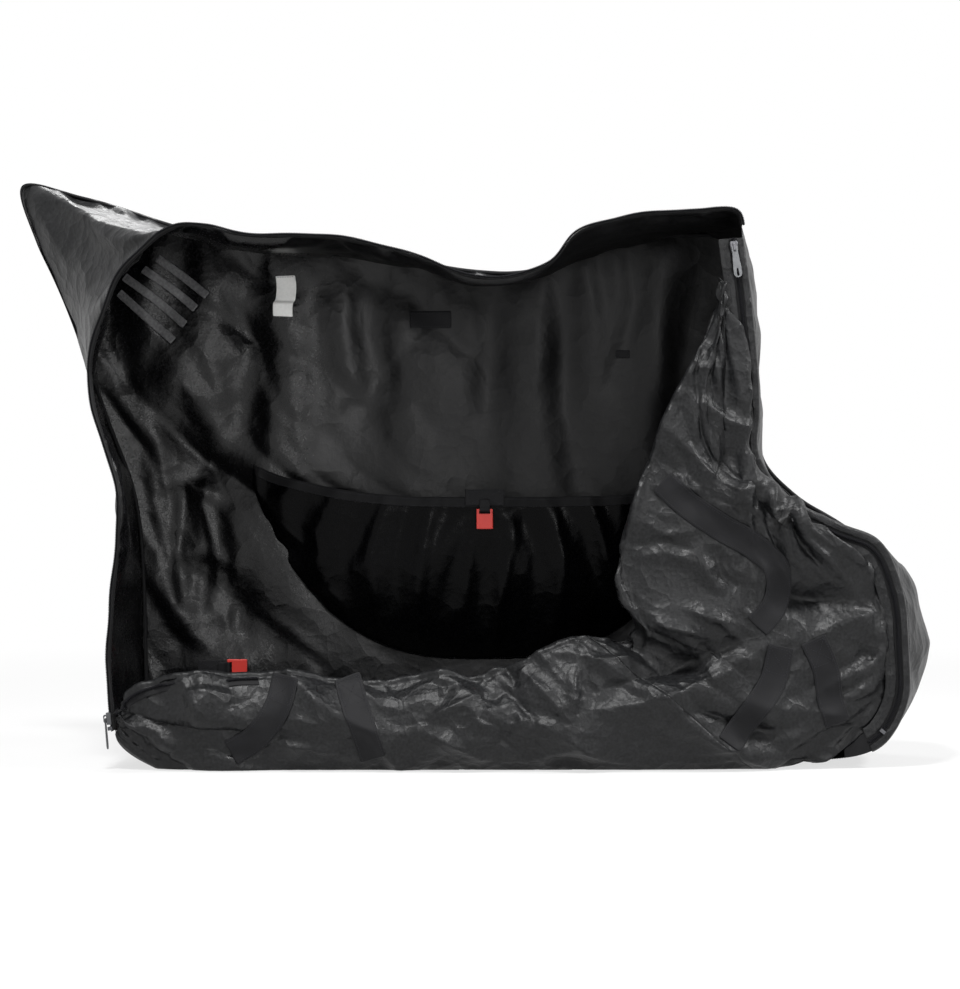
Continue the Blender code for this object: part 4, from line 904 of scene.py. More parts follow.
# Thousandths of the way along the sewn edge, the two pixels, hundredths of DEPTH, hundredths of BELLY
CREST = np.array((
    (0, 117, 712, -57, 10), (30, 122, 696, -57, 40), (50, 134, 686, -56, 60), (70, 160, 680, -56, 80),
    (100, 199, 677, -56, 95), (150, 259, 673, -56, 100), (185, 306, 671, -57, 100), (220, 345, 677, -55, 100),
    (255, 383, 680, -54, 102), (280, 406, 673, -56, 104), (320, 453, 668, -57, 106), (345, 480, 674, -55, 106),
    (365, 497, 665, -57, 108), (400, 528, 658, -58, 110), (430, 547, 648, -58, 108), (465, 569, 637, -58, 104),
    (500, 592, 633, -58, 100), (540, 624, 634, -56, 95), (565, 641, 629, -55, 92), (583, 637, 619, -58, 88),
    (600, 625, 611, -61, 86), (625, 619, 591, -61, 85), (660, 622, 558, -60, 85), (690, 629, 524, -59, 85),
    (720, 638, 493, -58, 83), (750, 648, 464, -57, 78), (790, 661, 426, -56, 72), (850, 685, 374, -56, 58),
    (890, 698, 348, -55, 47), (930, 712, 318, -55, 36), (970, 720, 298, -54, 25), (1000, 723, 281, -54, 15),
)) / (1000, 1, 1, 100, 100)


def zip_width_share(at):
    """1 where the closed zip lies between panel and gusset, down to 0 where it runs out in the base seam."""
    station = np.mod(at, STATIONS)
    ramp = 1 - np.clip((station - RAMP_START_STATION) / RAMP_STATIONS, 0, 1)
    return ramp * (station >= CLOSED_TOP_STATION)


def sewn_edge(at):
    """The panel's sewn edge, inside the tapes of the closed zip, and the direction in which it laps them."""
    closed = zip_width_share(at)[:, None]
    points = zip_line(at) - outward(at) * closed * (2 * TAPE_WIDTH + EDGE_GAP)
    points[:, 1] -= SEAM_GAP
    return points, unit(-outward(at) * closed + FORWARD * (1 - closed))


def front_panel_grid(at):
    """Rows from the sewn edge over the belly, half round the crest's roll and down inside."""
    edge, lap = sewn_edge(at)
    run = run_along(edge)
    share = run / run[-1]
    row = np.interp(share, CREST[:, 0], np.arange(len(CREST)))
    drawn = hermite(CREST[:, 1:4] * (1, 1, DEPTH), row, False)
    crest = at_pixels(drawn[:, :2], drawn[:, 2])
    fullness = np.interp(share, CREST[:, 0], CREST[:, 4])[:, None] * BELLY
    lapped = edge + lap * HEM_LAP
    rise = (crest - lapped) * (1, 0, 1)
    reach = np.linalg.norm(rise, axis=1)[:, None]
    rise /= reach
    v = np.linspace(0, 1, BODY_ROWS)[:, None, None]
    body = lapped + (crest - lapped) * v + FORWARD * fullness * np.sin(math.pi * v) ** BELLY_POWER
    turn = np.linspace(0, math.pi, ROLL_ROWS + 1)[1:, None, None]
    roll = crest + CREST_RADIUS * (rise * np.sin(turn) - FORWARD * (1 - np.cos(turn)))
    tuck = np.linspace(0, 1, TUCK_ROWS + 1)[1:, None, None]
    deep = np.minimum(TUCK_LENGTH, TUCK_SHARE * reach)
    down = roll[-1] - rise * deep * tuck - FORWARD * TUCK_DEPTH * tuck
    grid = np.concatenate([edge[None], body, roll, down])
    keep_above(grid)
    return grid, share


panel_at = even_stations(PANEL_RIGHT_STATION - STATIONS, PANEL_LEFT_STATION, PANEL_STEP)[::-1]
panel, panel_share = front_panel_grid(panel_at)
print("front panel:", panel.shape[1], "columns by", panel.shape[0], "rows")

# %% The folds of the front panel, from the curtain down to the flap
CURTAIN_FOLDS = (
    (10, 13, 5, 727, 305, 729, 341, 737, 378, 743, 408), (6, 8, 4, 716, 320, 722, 345, 727, 376),
    (-5, 5, 5, 728, 300, 715, 332, 699, 365, 684, 396, 672, 428), (6, 7, 7, 750, 300, 754, 350, 752, 405),
    (12, 5, 12, 698, 397, 716, 413, 731, 421, 752, 428), (9, 9, 4, 672, 476, 688, 488, 703, 493),
    (14, 12, 7, 757, 445, 742, 483, 729, 507, 738, 520), (-9, 9, 9, 745, 436, 722, 466, 704, 502),
    (6, 5, 5, 688, 440, 704, 466, 700, 494), (6, 5, 5, 718, 436, 720, 462, 709, 486),
    (-5, 6, 6, 668, 440, 684, 458, 692, 480), (7, 8, 8, 640, 520, 668, 535, 700, 530),
    (7, 8, 6, 636, 560, 664, 552, 700, 566), (-7, 6, 8, 632, 545, 660, 541, 690, 549),
    (6, 5, 5, 722, 548, 735, 558, 733, 568, 750, 576), (7, 4, 7, 740, 586, 742, 608, 758, 619),
    (6, 6, 6, 700, 542, 708, 575, 726, 598), (6, 5, 7, 766, 556, 764, 590, 760, 614),
    (-6, 6, 6, 712, 545, 722, 575, 742, 590),
)
GATHER_FOLDS = (
    (11, 3, 5, 759, 458, 782, 498, 812, 530, 846, 556, 880, 574),
    (10, 3, 5, 757, 470, 776, 512, 802, 552, 838, 590), (10, 3, 6, 752, 470, 762, 516, 776, 556, 798, 592),
    (9, 3, 5, 744, 474, 748, 512, 756, 548, 768, 580), (-7, 3, 3, 762, 476, 784, 520, 812, 556, 842, 580),
    (-7, 3, 3, 754, 486, 766, 526, 784, 560), (20, 10, 6, 757, 454, 766, 478, 778, 521, 791, 559, 811, 578),
    (17, 5, 6, 764, 470, 789, 508, 808, 540, 834, 566, 855, 587),
    (15, 4, 6, 780, 486, 825, 531, 859, 560, 890, 576), (-9, 4, 4, 762, 464, 785, 508, 803, 548, 822, 572),
    (-9, 3, 4, 776, 482, 815, 527, 850, 564), (-13, 5, 4, 790, 496, 835, 535, 882, 560),
    (8, 4, 4, 880, 588, 888, 622), (-30, 18, 18, 762, 588, 810, 600, 858, 600),
    (10, 5, 10, 818, 634, 859, 616, 884, 610),
)
FLAP_FOLDS = (
    (13, 9, 4, 650, 619, 665, 627, 690, 633, 714, 639), (13, 8, 4, 692, 613, 719, 621, 728, 630, 737, 640),
    (9, 6, 4, 652, 620, 648, 640, 643, 655),
    (15, 8, 22, 592, 712, 652, 700, 684, 691, 712, 677, 742, 660, 770, 645),
    (-18, 14, 12, 596, 690, 650, 675, 700, 660, 745, 640), (13, 5, 15, 577, 664, 574, 700, 570, 724),
    (-10, 6, 6, 490, 678, 511, 697, 528, 714, 538, 731), (10, 5, 12, 500, 690, 515, 705, 524, 720, 508, 746),
    (9, 8, 8, 517, 664, 537, 686, 555, 705, 570, 722), (7, 5, 6, 464, 701, 486, 728),
    (7, 6, 10, 426, 720, 466, 700, 492, 689), (6, 10, 8, 398, 700, 412, 680, 440, 676),
    (-13, 6, 6, 111, 719, 136, 714, 153, 724, 192, 729, 248, 734),
    (9, 6, 10, 120, 726, 149, 727, 165, 740, 180, 758), (8, 6, 8, 235, 748, 271, 744, 310, 749, 352, 757),
    (6, 5, 5, 279, 731, 296, 719, 314, 725, 292, 738), (-6, 5, 5, 806, 690, 859, 661, 895, 638),
    (6, 5, 5, 814, 696, 862, 669, 896, 648), (-5, 4, 4, 826, 702, 868, 679, 897, 660),
    (7, 4, 8, 830, 727, 860, 718, 896, 705), (7, 8, 11, 620, 752, 700, 752, 761, 744, 828, 731),
    (7, 5, 8, 750, 731, 783, 692, 803, 664), (6, 10, 10, 148, 690, 200, 699, 258, 696),
    (5, 5, 6, 182, 680, 186, 698, 204, 716), (7, 4, 7, 583, 668, 602, 660, 640, 655),
)

print("folds:", len(CURTAIN_FOLDS + GATHER_FOLDS + FLAP_FOLDS))

# %% [markdown]
# Where the panel is drawn together at the right, its cloth bulges over the closed zip. So from the
# sewn edge it first goes outwards across the tapes and comes back in front of itself: half a sine
# wave aside, and ahead a sine of the square of the way, which peaks on the way back.

# %% The front panel settles, laps the zip and takes its folds
LAP_WIDTH, LAP_LIFT, LAP_ROWS = 0.027, 0.011, 30
LAP_PIXELS = (305, 330, 425, 470, 560, 600, 695, 712)
LAP_SHARES = (0.0, 1.0, 1.0, 0.8, 0.8, 0.65, 0.6, 0.0)
PANEL_PARTS = {"front_panel_flap_cloth": (0.0, 0.5), "front_panel_curtain_cloth": (0.5, 1.0)}
PART_LAP_SHARE = 0.003


def finer(grid, axis):
    """A point between every two of a line, by the cubic through the four nearest: (9 (b + c) - a - d) / 16."""
    g = np.moveaxis(grid, axis, 0)
    padded = np.concatenate([2 * g[:1] - g[1:2], g, 2 * g[-1:] - g[-2:-1]])
    made = np.empty((2 * len(g) - 1, *g.shape[1:]))
    made[::2] = g
    made[1::2] = (9 * (padded[1:-2] + padded[2:-1]) - padded[:-3] - padded[3:]) / 16
    return np.moveaxis(made, 0, axis)


def panel_part(first, last):
    """The panel's columns between two shares of the sewn edge, with a lap at the first."""
    return panel[:, (panel_share >= first - PART_LAP_SHARE) & (panel_share <= last)]


held = rim_of(panel, "snew")
held[-TUCK_ROWS:] = True
panel = raised(panel, np.where(held, 0, 0.0012 * ripple(panel.shape[:2], waves=0.05, seed=5)))
panel = settle("front_panel_cloth", panel, held, growth=0.035, bending=2.0, frames=30, gravity=0.35, cap=0.008)
panel = finer(finer(panel, 0), 1)
panel_share = np.interp(np.arange(panel.shape[1]) / 2, np.arange(len(panel_share)), panel_share)

edge = pixels_of(panel[:1])[0]
lap = np.interp(edge[:, 1], LAP_PIXELS, LAP_SHARES) * (edge[:, 0] > 700)
walk = np.clip(np.arange(CREST_ROW + 1) / LAP_ROWS, 0, 1)[:, None, None]
aside = LAP_WIDTH * np.sin(math.pi * walk) ** 0.8 * finer(outward(panel_at)[None], 1)
ahead = LAP_LIFT * np.sin(math.pi * walk**2) * FORWARD
body = panel[: CREST_ROW + 1]
body += (aside + ahead) * lap[None, :, None]

height = fold_height(pixels_of(body), CURTAIN_FOLDS + GATHER_FOLDS + FLAP_FOLDS)
broad = crumple(body, pitch=0.080, height=0.022, seed=31, stretch=1.8, turn=0.4)
height += broad - crumple(body, pitch=0.036, height=0.0095, seed=32, stretch=1.5, turn=-0.6)
height += crumple(body, pitch=0.017, height=0.0018, seed=33) - 0.004
height *= np.clip(np.arange(CREST_ROW + 1) / 12, 0, 1)[:, None]
move = grid_normals(panel)[: CREST_ROW + 1] * height[:, :, None]
body += move
panel[CREST_ROW + 1 :] += move[-1]
keep_above(panel, 0.0008)

panel_face = grid_object("front_panel_face", panel, [])
panel_pieces = []
for name, shares in PANEL_PARTS.items():
    part = panel_part(*shares)
    panel_pieces.append(cloth_piece(name, part, [shell_fabric, coated_fabric], ["front_panel"], levels=0))
print("front panel after folds:", panel.shape[1], "by", panel.shape[0], "points")

# %% [markdown]
# ## The wheel pocket
#
# A half-round pocket on the inside of the back panel takes a wheel. It is cut larger than the
# place that it is sewn to and taken up in pleats that start at the hem. In the grid, rows climb
# from the sewn edge to the hem, and the pocket stands off the panel most at the middle of its hem.

# %% Pocket cloth
POCKET_HALF_WIDTH = 0.35
POCKET_CENTRE_X = 0.007
POCKET_HEM_HEIGHT = 0.383
POCKET_LOW_HEIGHT = 0.138
POCKET_END_RISE = 0.050
POCKET_END_DEPTH = 0.035
POCKET_BULGE = 0.050
POCKET_RIGHT_RISE_SHARE = 0.4
POCKET_RIM_POWER = 2.8
POCKET_FULL_POWER = 2.2
POCKET_COLUMNS, POCKET_ROWS = 90, 36
HEM_WIDTH = 0.015

POCKET_FOLDS = (
    (10, 4, 9, 519, 506, 511, 555, 500, 610, 494, 652), (10, 9, 4, 553, 506, 561, 555, 556, 606, 541, 650),
    (8, 8, 4, 588, 500, 601, 536, 606, 580), (-6, 7, 7, 536, 506, 536, 560, 528, 625, 518, 655),
    (9, 4, 9, 432, 504, 423, 556, 416, 612, 424, 650), (8, 5, 10, 386, 498, 371, 552, 380, 608, 392, 640),
    (8, 5, 10, 335, 484, 318, 532, 330, 580, 352, 616), (6, 6, 10, 290, 470, 283, 502, 298, 545),
    (-6, 8, 8, 408, 500, 398, 560, 396, 620), (-5, 8, 8, 360, 492, 345, 545, 352, 600),
    (6, 6, 6, 470, 530, 468, 575, 460, 620),
)


def pocket_grid():
    """From the sewn edge, a flattened bowl of |u| to a power, up to the hem, which lifts with |u| cubed."""
    u = np.linspace(-1, 1, POCKET_COLUMNS)[None]
    v = np.linspace(0, 1, POCKET_ROWS)[:, None]
    rise = POCKET_END_RISE * np.where(u < 0, 1, POCKET_RIGHT_RISE_SHARE)
    hem = POCKET_HEM_HEIGHT + rise * np.abs(u) ** 3
    ends = hem - POCKET_END_DEPTH
    low = POCKET_LOW_HEIGHT + (ends - POCKET_LOW_HEIGHT) * np.abs(u) ** POCKET_RIM_POWER
    x = POCKET_CENTRE_X + POCKET_HALF_WIDTH * u + 0 * v
    z = low + (hem - low) * v
    fullness = (1 - u**4) * (1 - (1 - v) ** POCKET_FULL_POWER)
    y = BACK_Y - SEAM_GAP - 0.0016 - POCKET_BULGE * fullness
    return np.stack([x, y, z], axis=2)


pocket = pocket_grid()
pocket_calm = 1 - near_node(pocket, "pocket_buckle", 0.045)
pocket_lift = fold_height(pixels_of(pocket), POCKET_FOLDS) * pocket_calm
pocket_lift *= np.clip(np.arange(POCKET_ROWS) / 5, 0, 1)[:, None]
pocket = raised(pocket, pocket_lift)
sewn = rim_of(pocket, "sew") | (pocket_calm < 0.5)
sewn[-1, ::9] = True
cap = 0.006 * pocket_calm[:, :, None] + 0.0002
pocket = settle("wheel_pocket_cloth", pocket, sewn, growth=0.03, bending=2.5, frames=26, gravity=0.4, cap=cap)
creases = crumple(pocket, pitch=0.045, height=0.004, seed=41, stretch=3.0)
pocket = raised(pocket, -creases * faded(pocket.shape[:2], cells=4) * pocket_calm)
pocket_cloth = cloth_piece("wheel_pocket_cloth", pocket, [pocket_fabric], ["wheel_pocket"], THIN_CLOTH)
print("pocket:", pocket.shape[1], "by", pocket.shape[0], "points")

# %% [markdown]
# ## Strips that lie on cloth
#
# Webbing, hems, ties and patches all lie on a cloth that has just been wrinkled. Each is a flat
# strip of points, thrown onto that cloth along Y by a Shrinkwrap modifier. Webbing is stiffer than
# the cloth under it and can't follow every crease: its depth is blurred along its length and kept
# in front of the cloth, which is what a stiff strip on a soft one does.


# %% Laying a strip
STRIP_STEP = 0.005
ACROSS = 9


def strip_points(path, width, step=STRIP_STEP, across=ACROSS):
    """A flat strip in X and Z: the smooth middle line of the path, and half a width to each side of it."""
    fine = hermite(path, np.linspace(0, len(path) - 1, 400), False)
    run = run_along(fine)
    at = np.linspace(0, run[-1], int(run[-1] / step) + 2)
    middle = at_run(at, run, fine)
    along = unit(np.gradient(middle, axis=0))
    side = np.column_stack([along[:, 1], -along[:, 0]])
    offset = np.linspace(-width / 2, width / 2, across)[:, None, None]
    flat = middle + side * offset
    return np.stack([flat[..., 0], np.zeros(flat.shape[:2]), flat[..., 1]], axis=-1)


def wrapped(points, target, **settings):
    """The points after a Shrinkwrap modifier onto a target."""
    probe = grid_object("probe", points, [])
    wrap = probe.modifiers.new("wrap", "SHRINKWRAP")
    wrap.target = target
    for setting, value in settings.items():
        setattr(wrap, setting, value)
    met = finished_points(probe, points.shape)
    bpy.data.objects.remove(probe)
    return met


def thrown(points, target, side):
    """The depth at which each point of X and Z meets the target, thrown from in front (-1) or behind (1)."""
    start = points.copy()
    start[..., 1] = side * DEPTH * 2
    ways = {"use_positive_direction": side < 0, "use_negative_direction": side > 0}
    depth = wrapped(start, target, wrap_method="PROJECT", use_project_y=True, **ways)[..., 1]
    met_cloth = np.abs(depth - side * DEPTH * 2) > 1e-4
    usual = np.median(depth[met_cloth])
    for row, sound in zip(depth, met_cloth):
        places = np.flatnonzero(sound)
        row[:] = np.interp(np.arange(len(row)), places, row[places]) if len(places) else usual
    return depth


def laid(path, width, target, lift, side=-1, stiff=2.5, step=STRIP_STEP, across=ACROSS):
    """A strip on a target: its depth blurred along its length, then kept off the cloth by a lift."""
    points = strip_points(np.array(path, float), width, step, across)
    keep_above(points, 0.003)
    cloth = thrown(points, target, side)
    toward = np.minimum if side < 0 else np.maximum
    soft = blurred(blurred(cloth, stiff, 1), stiff / 2, 0)
    soft = blurred(toward(soft, cloth), stiff / 2, 1)
    points[..., 1] = toward(soft, cloth) + side * lift
    facing = grid_normals(points)[across // 2, points.shape[1] // 2, 1]
    return points if facing * side > 0 else points[::-1]


# %% [markdown]
# ## Thread
#
# Stitches are what tells sewn cloth from moulded plastic. One stitch is a capsule of six sides.
# It is copied along a path by array maths: each copy's corners are its place, plus its own corners
# measured along the path, across it and up from the cloth.

# %% Stitches
STITCH_PITCH = 0.0036
STITCH_SHARE = 0.66
STITCH_RADIUS = 0.00033
STITCH_SIDES = 6
STITCH_RINGS = ((-0.5, 0.0), (-0.38, 1.0), (0.38, 1.0), (0.5, 0.0))
STITCH_PROUD = 0.0002
EDGE_INSET_SHARE = 0.10


def squared(vectors, along):
    """Unit vectors: the part of each vector that is square to a unit direction."""
    return unit(vectors - along * (vectors * along).sum(1)[:, None])


def tube_faces(rings, sides):
    """Quads that join each ring of points to the next."""
    k = np.arange(sides)
    n = (k + 1) % sides
    band = np.stack([k, n, n + sides, k + sides], axis=1)
    return (band[None] + (np.arange(rings - 1) * sides)[:, None, None]).reshape(-1, 4)


def stitches(name, lines):
    """Rows of stitches. Each line is its points and the cloth's normals there."""
    turn = np.arange(STITCH_SIDES) * 2 * math.pi / STITCH_SIDES
    corners = np.array([(x, r * math.cos(a), r * math.sin(a)) for x, r in STITCH_RINGS for a in turn])
    quads = tube_faces(len(STITCH_RINGS), STITCH_SIDES)
    half = corners[:, 0] * STITCH_PITCH * STITCH_SHARE
    spots = []
    for points, normals in lines:
        run = run_along(points)
        count = max(2, int(run[-1] / STITCH_PITCH))
        at = (np.arange(count) + 0.5) * run[-1] / count
        place = at_run(at, run, points)[:, None]
        ahead, behind = (at_run(at + step, run, points) for step in (STITCH_PITCH / 2, -STITCH_PITCH / 2))
        along = unit(ahead - behind)
        up = squared(at_run(at, run, normals), along)
        across = np.cross(up, along)
        sides = across[:, None] * corners[:, 1, None] + up[:, None] * corners[:, 2, None]
        spots.append(place + along[:, None] * half[:, None] + STITCH_RADIUS * sides)
    spots = np.concatenate(spots)
    shift = (np.arange(len(spots)) * len(corners))[:, None, None]
    thing = mesh_object(name, spots.reshape(-1, 3), (quads[None] + shift).reshape(-1, 4), [black_thread])
    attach(thing, "bag")
    print(name, len(spots), "stitches")


def sampled(grid, rows, columns):
    """Points of a grid at fractional rows and columns, each the weighted mean of its four neighbours."""
    rows, columns = np.broadcast_arrays(np.asarray(rows, float), np.asarray(columns, float))
    r = np.clip(np.floor(rows).astype(int), 0, grid.shape[0] - 2)
    c = np.clip(np.floor(columns).astype(int), 0, grid.shape[1] - 2)
    fr, fc = (rows - r)[:, None], (columns - c)[:, None]
    low = grid[r, c] * (1 - fc) + grid[r, c + 1] * fc
    high = grid[r + 1, c] * (1 - fc) + grid[r + 1, c + 1] * fc
    return low * (1 - fr) + high * fr


def line_on(grid, rows, columns, count=None):
    """A line for stitches on a grid, from one fractional row and column to another, just proud of it."""
    count = count or 3 * int(np.ptp(columns) + np.ptp(rows)) + 12
    r, c = np.linspace(*rows, count), np.linspace(*columns, count)
    normals = sampled(grid_normals(grid), r, c)
    return sampled(grid, r, c) + normals * STITCH_PROUD, normals


def box_on(grid, rows, columns, crossed=True):
    """Four lines round a box on a grid, and its diagonals."""
    (low, high), (first, last) = rows, columns
    corners = ((low, first), (low, last), (high, last), (high, first), (low, first))
    sides = list(zip(corners, corners[1:]))
    if crossed:
        sides += [(corners[0], corners[2]), (corners[3], corners[1])]
    return [line_on(grid, (a[0], b[0]), (a[1], b[1])) for a, b in sides]


def snapped(lines, target):
    """The lines with every point moved to the nearest place on the target's finished surface."""
    every = np.concatenate([points for points, _ in lines])
    met = wrapped(every[None], target, wrap_method="NEAREST_SURFACEPOINT")[0]
    ends = np.cumsum([len(points) for points, _ in lines])[:-1]
    found = zip(np.split(met, ends), (normals for _, normals in lines))
    return [(place + normals * STITCH_PROUD / 2, normals) for place, normals in found]


def edge_rows(grid):
    """Stitch lines along both edges of a strip, set in by a share of its width."""
    last, end = grid.shape[0] - 1, grid.shape[1] - 1
    inset = last * EDGE_INSET_SHARE
    ends = (0.4, end - 0.4)
    return [line_on(grid, (row, row), ends, grid.shape[1] * 2) for row in (inset, last - inset)]


def box_cross(grid, first, last):
    """The box with a cross that fastens webbing, between two columns of a strip."""
    wide = grid.shape[0] - 1
    return box_on(grid, (wide * 0.12, wide * 0.88), (first, last))


# %% [markdown]
# ## Webbing on the front panel
#
# Four legs of 38 mm webbing come up from the base, and one long strap loops over the gathered
# curtain. Each is sewn along both edges, with a box and cross where it ends.

# %% Front webbing
WEBBING_WIDTH = 0.038
WEBBING_THICKNESS = 0.0015
WEBBING_LIFT = 0.0021
FRONT_WEBBING_SHARES = {
    "front_strap_a": ((-0.205, 0.158), (-0.212, 0.110), (-0.236, 0.055), (-0.262, 0.030)),
    "front_strap_b": ((-0.141, 0.155), (-0.131, 0.110), (-0.120, 0.060), (-0.112, 0.020)),
    "front_strap_c": ((0.318, 0.205), (0.308, 0.145), (0.288, 0.100), (0.262, 0.045)),
    "front_strap_d": ((0.352, 0.215), (0.366, 0.165), (0.371, 0.115), (0.379, 0.075)),
    "front_strap_loop": (
        (0.192, 0.475), (0.216, 0.440), (0.253, 0.400), (0.289, 0.368),
        (0.314, 0.328), (0.313, 0.275), (0.292, 0.236),
    ),
}
CROSS_COLUMNS = 8

front_thread = []
for node, shares in FRONT_WEBBING_SHARES.items():
    strap = laid(SPAN * shares, WEBBING_WIDTH, panel_face, WEBBING_LIFT)
    piece = cloth_piece(node + "_webbing", strap, [webbing], [node], WEBBING_THICKNESS)
    sewing = edge_rows(strap)
    if node != "front_strap_loop":
        sewing += box_cross(strap, 1, CROSS_COLUMNS)
    front_thread += snapped(sewing, piece)
stitches("front_webbing_thread", front_thread)

# %% [markdown]
# ## The zip
#
# A coil zip is one nylon thread wound into a flat spiral and sewn to a woven tape. Its teeth are
# the turns of that spiral, so the coil is made as it is made in the factory: a tube carried along
# a helix, which is carried along the edge of the tape.


# %% A coil along a path
COIL_PITCH = 0.0023
COIL_WIDE = 0.0020
COIL_HIGH = 0.0014
COIL_THREAD = 0.00048
COIL_SAMPLES = 9
COIL_SIDES = 4
COIL_INSET = 0.0035
COIL_LIFT = 0.0019
COIL_RING = np.arange(COIL_SIDES) * 2 * math.pi / COIL_SIDES
CORE_WIDE, CORE_HIGH, CORE_DROP = 0.0017, 0.0013, 0.0005


def frames_on(path, up, per_pitch):
    """Even places on a path, some to each pitch, with the directions along, across and up there."""
    run = run_along(path)
    at = np.linspace(0, run[-1], int(run[-1] / COIL_PITCH * per_pitch))
    line = at_run(at, run, path)
    along = unit(np.gradient(line, axis=0))
    lift = squared(at_run(at, run, up), along)
    return at, line, along, np.cross(along, lift), lift


def coil_thread(path, up, phase=0.0, wide=COIL_WIDE):
    """A tube on a flattened helix: path + wide cos(t) across + high sin(t) up, one turn for each pitch."""
    at, line, along, across, lift = frames_on(path, up, COIL_SAMPLES)
    turn = (at / COIL_PITCH * 2 * math.pi + phase)[:, None]
    helix = line + across * (wide * np.cos(turn)) + lift * (COIL_HIGH * np.sin(turn))
    tangent = unit(np.gradient(helix, axis=0))
    first = unit(np.cross(tangent, along))
    second = np.cross(tangent, first)
    ring = first[:, None] * np.cos(COIL_RING)[:, None] + second[:, None] * np.sin(COIL_RING)[:, None]
    return helix[:, None] + COIL_THREAD * ring


def core_cord(path, up):
    """The cord that fills a coil, so that no light shows between its turns: a flattened tube."""
    _, line, _, across, lift = frames_on(path, up, 1)
    wide, high = CORE_WIDE * np.cos(COIL_RING)[:, None], CORE_HIGH * np.sin(COIL_RING)[:, None]
    return (line - lift * CORE_DROP)[:, None] + across[:, None] * wide - lift[:, None] * high


def coil_object(name, node, path, up, threads=None):
    """One object from several threads and a core: rings of points joined to the next, with closed ends."""
    threads = threads or [coil_thread(path, up)]
    faces, made, k = [], 0, np.arange(COIL_SIDES)
    tubes = [*threads, core_cord(path, up)]
    for rings in tubes:
        faces.append(tube_faces(len(rings), COIL_SIDES) + made)
        faces.append(np.array([k[::-1], k + (len(rings) - 1) * COIL_SIDES]) + made)
        made += len(rings) * COIL_SIDES
    points = np.concatenate(tubes).reshape(-1, 3)
    thing = mesh_object(name, points, np.concatenate(faces), [zip_coil])
    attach(thing, "bag")
    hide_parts(node)
    print(name, "has", sum(len(rings) for rings in threads) // COIL_SAMPLES, "turns")


# %% The open half on the gusset, and the closed run at the right
OPEN_FOOT_STATION, OPEN_TOP_STATION = 1.25, 23.50
CLOSED_FOOT_STATION, TAPE_FOOT_STATION = 34.20, 34.45
TAPE_THICKNESS = 0.0007
TAPE_PROUD = 0.0009
ZIP_STEP = 0.006


def facing_front(grid):
    """The grid, with its rows turned round if it faces backwards."""
    return grid[::-1] if grid_normals(grid)[2, 9, 1] > 0 else grid


at = even_stations(OPEN_FOOT_STATION, OPEN_TOP_STATION, ZIP_STEP)
off = outward(at)
seam = zip_line(at) - (0, EDGE_GAP, 0)
wave = (0.0006 * np.sin(run_along(seam) * 70))[:, None]
rows = np.linspace(1, 0, 5)[:, None, None]
gusset_tape = seam + rows * TAPE_WIDTH * FORWARD + off * wave * rows
tucked = (seam + (0, 0.007, 0) - off * (CLOTH + 0.0006))[None]
gusset_tape = np.concatenate([gusset_tape, (gusset_tape[-1:] + tucked) / 2 - off * 0.0005, tucked])
cloth_piece("zip_tape_gusset_weave", gusset_tape, [zip_tape], ["zip_tape_gusset"], TAPE_THICKNESS)
coil_path = gusset_tape[0] + (0, COIL_INSET, 0) + off * COIL_LIFT
coil_object("zip_coil_gusset_spiral", "zip_coil_gusset", coil_path, off)

at = even_stations(CLOSED_TOP_STATION, TAPE_FOOT_STATION, ZIP_STEP)
outer = zip_line(at) - (0, SEAM_GAP + TAPE_PROUD, 0)
rows = np.linspace(1, 0, 6)[:, None, None]
closed_tape = facing_front(outer - rows * (outward(at) * 2 * TAPE_WIDTH * zip_width_share(at)[:, None]))
cloth_piece("zip_tape_closed_weave", closed_tape, [zip_tape], ["zip_tape_closed"], TAPE_THICKNESS)

at = even_stations(CLOSED_TOP_STATION, CLOSED_FOOT_STATION, ZIP_STEP)
ahead = np.tile(FORWARD, (len(at), 1))
closed_path = zip_line(at) - outward(at) * TAPE_WIDTH + ahead * (SEAM_GAP + TAPE_PROUD + COIL_LIFT)
halves = [
    coil_thread(closed_path + outward(at) * shift, ahead, phase, COIL_WIDE * 0.62)
    for shift, phase in ((0.0010, 0.0), (-0.0010, math.pi))
]
coil_object("zip_coil_closed_spiral", "zip_coil_closed", closed_path, ahead, halves)

# %% Folded edges that cover the tapes of the closed zip
FLAP_REACH = 0.0092
FLAP_RISE = 0.0008
FLAP_FOOT = 2 * TAPE_WIDTH + 0.007

edge_line = zip_line(at)
edge_line[:, 1] -= SEAM_GAP + TAPE_PROUD
inward = -outward(at)
bow = (FLAP_RISE * np.array([0.9, 1.3, 1.5, 1.4, 1.0]))[:, None, None]
flaps = [
    edge_line + inward * np.linspace(near, far, 5)[:, None, None] + FORWARD * bow
    for near, far in ((0.0, FLAP_REACH), (FLAP_FOOT, 2 * TAPE_WIDTH - FLAP_REACH))
]
round_edge = [edge_line - inward * out + (0, back, 0) for out, back in ((0.0030, 0.0070), (0.0016, 0.0022))]
flaps[0] = np.concatenate([round_edge, flaps[0]])
zip_thread = []
for name, grid in zip(("zip_edge_gusset", "zip_edge_panel"), map(facing_front, flaps)):
    cloth_piece(name, grid, [shell_fabric], thickness=THIN_CLOTH)
    zip_thread.append(line_on(grid, (2, 2), (1, grid.shape[1] - 2)))
print("tapes, coils and folded edges done")

# %% The panel's own half: its end at the crest, and the rest tucked inside
CREST_TAPE_SHARE = 0.15

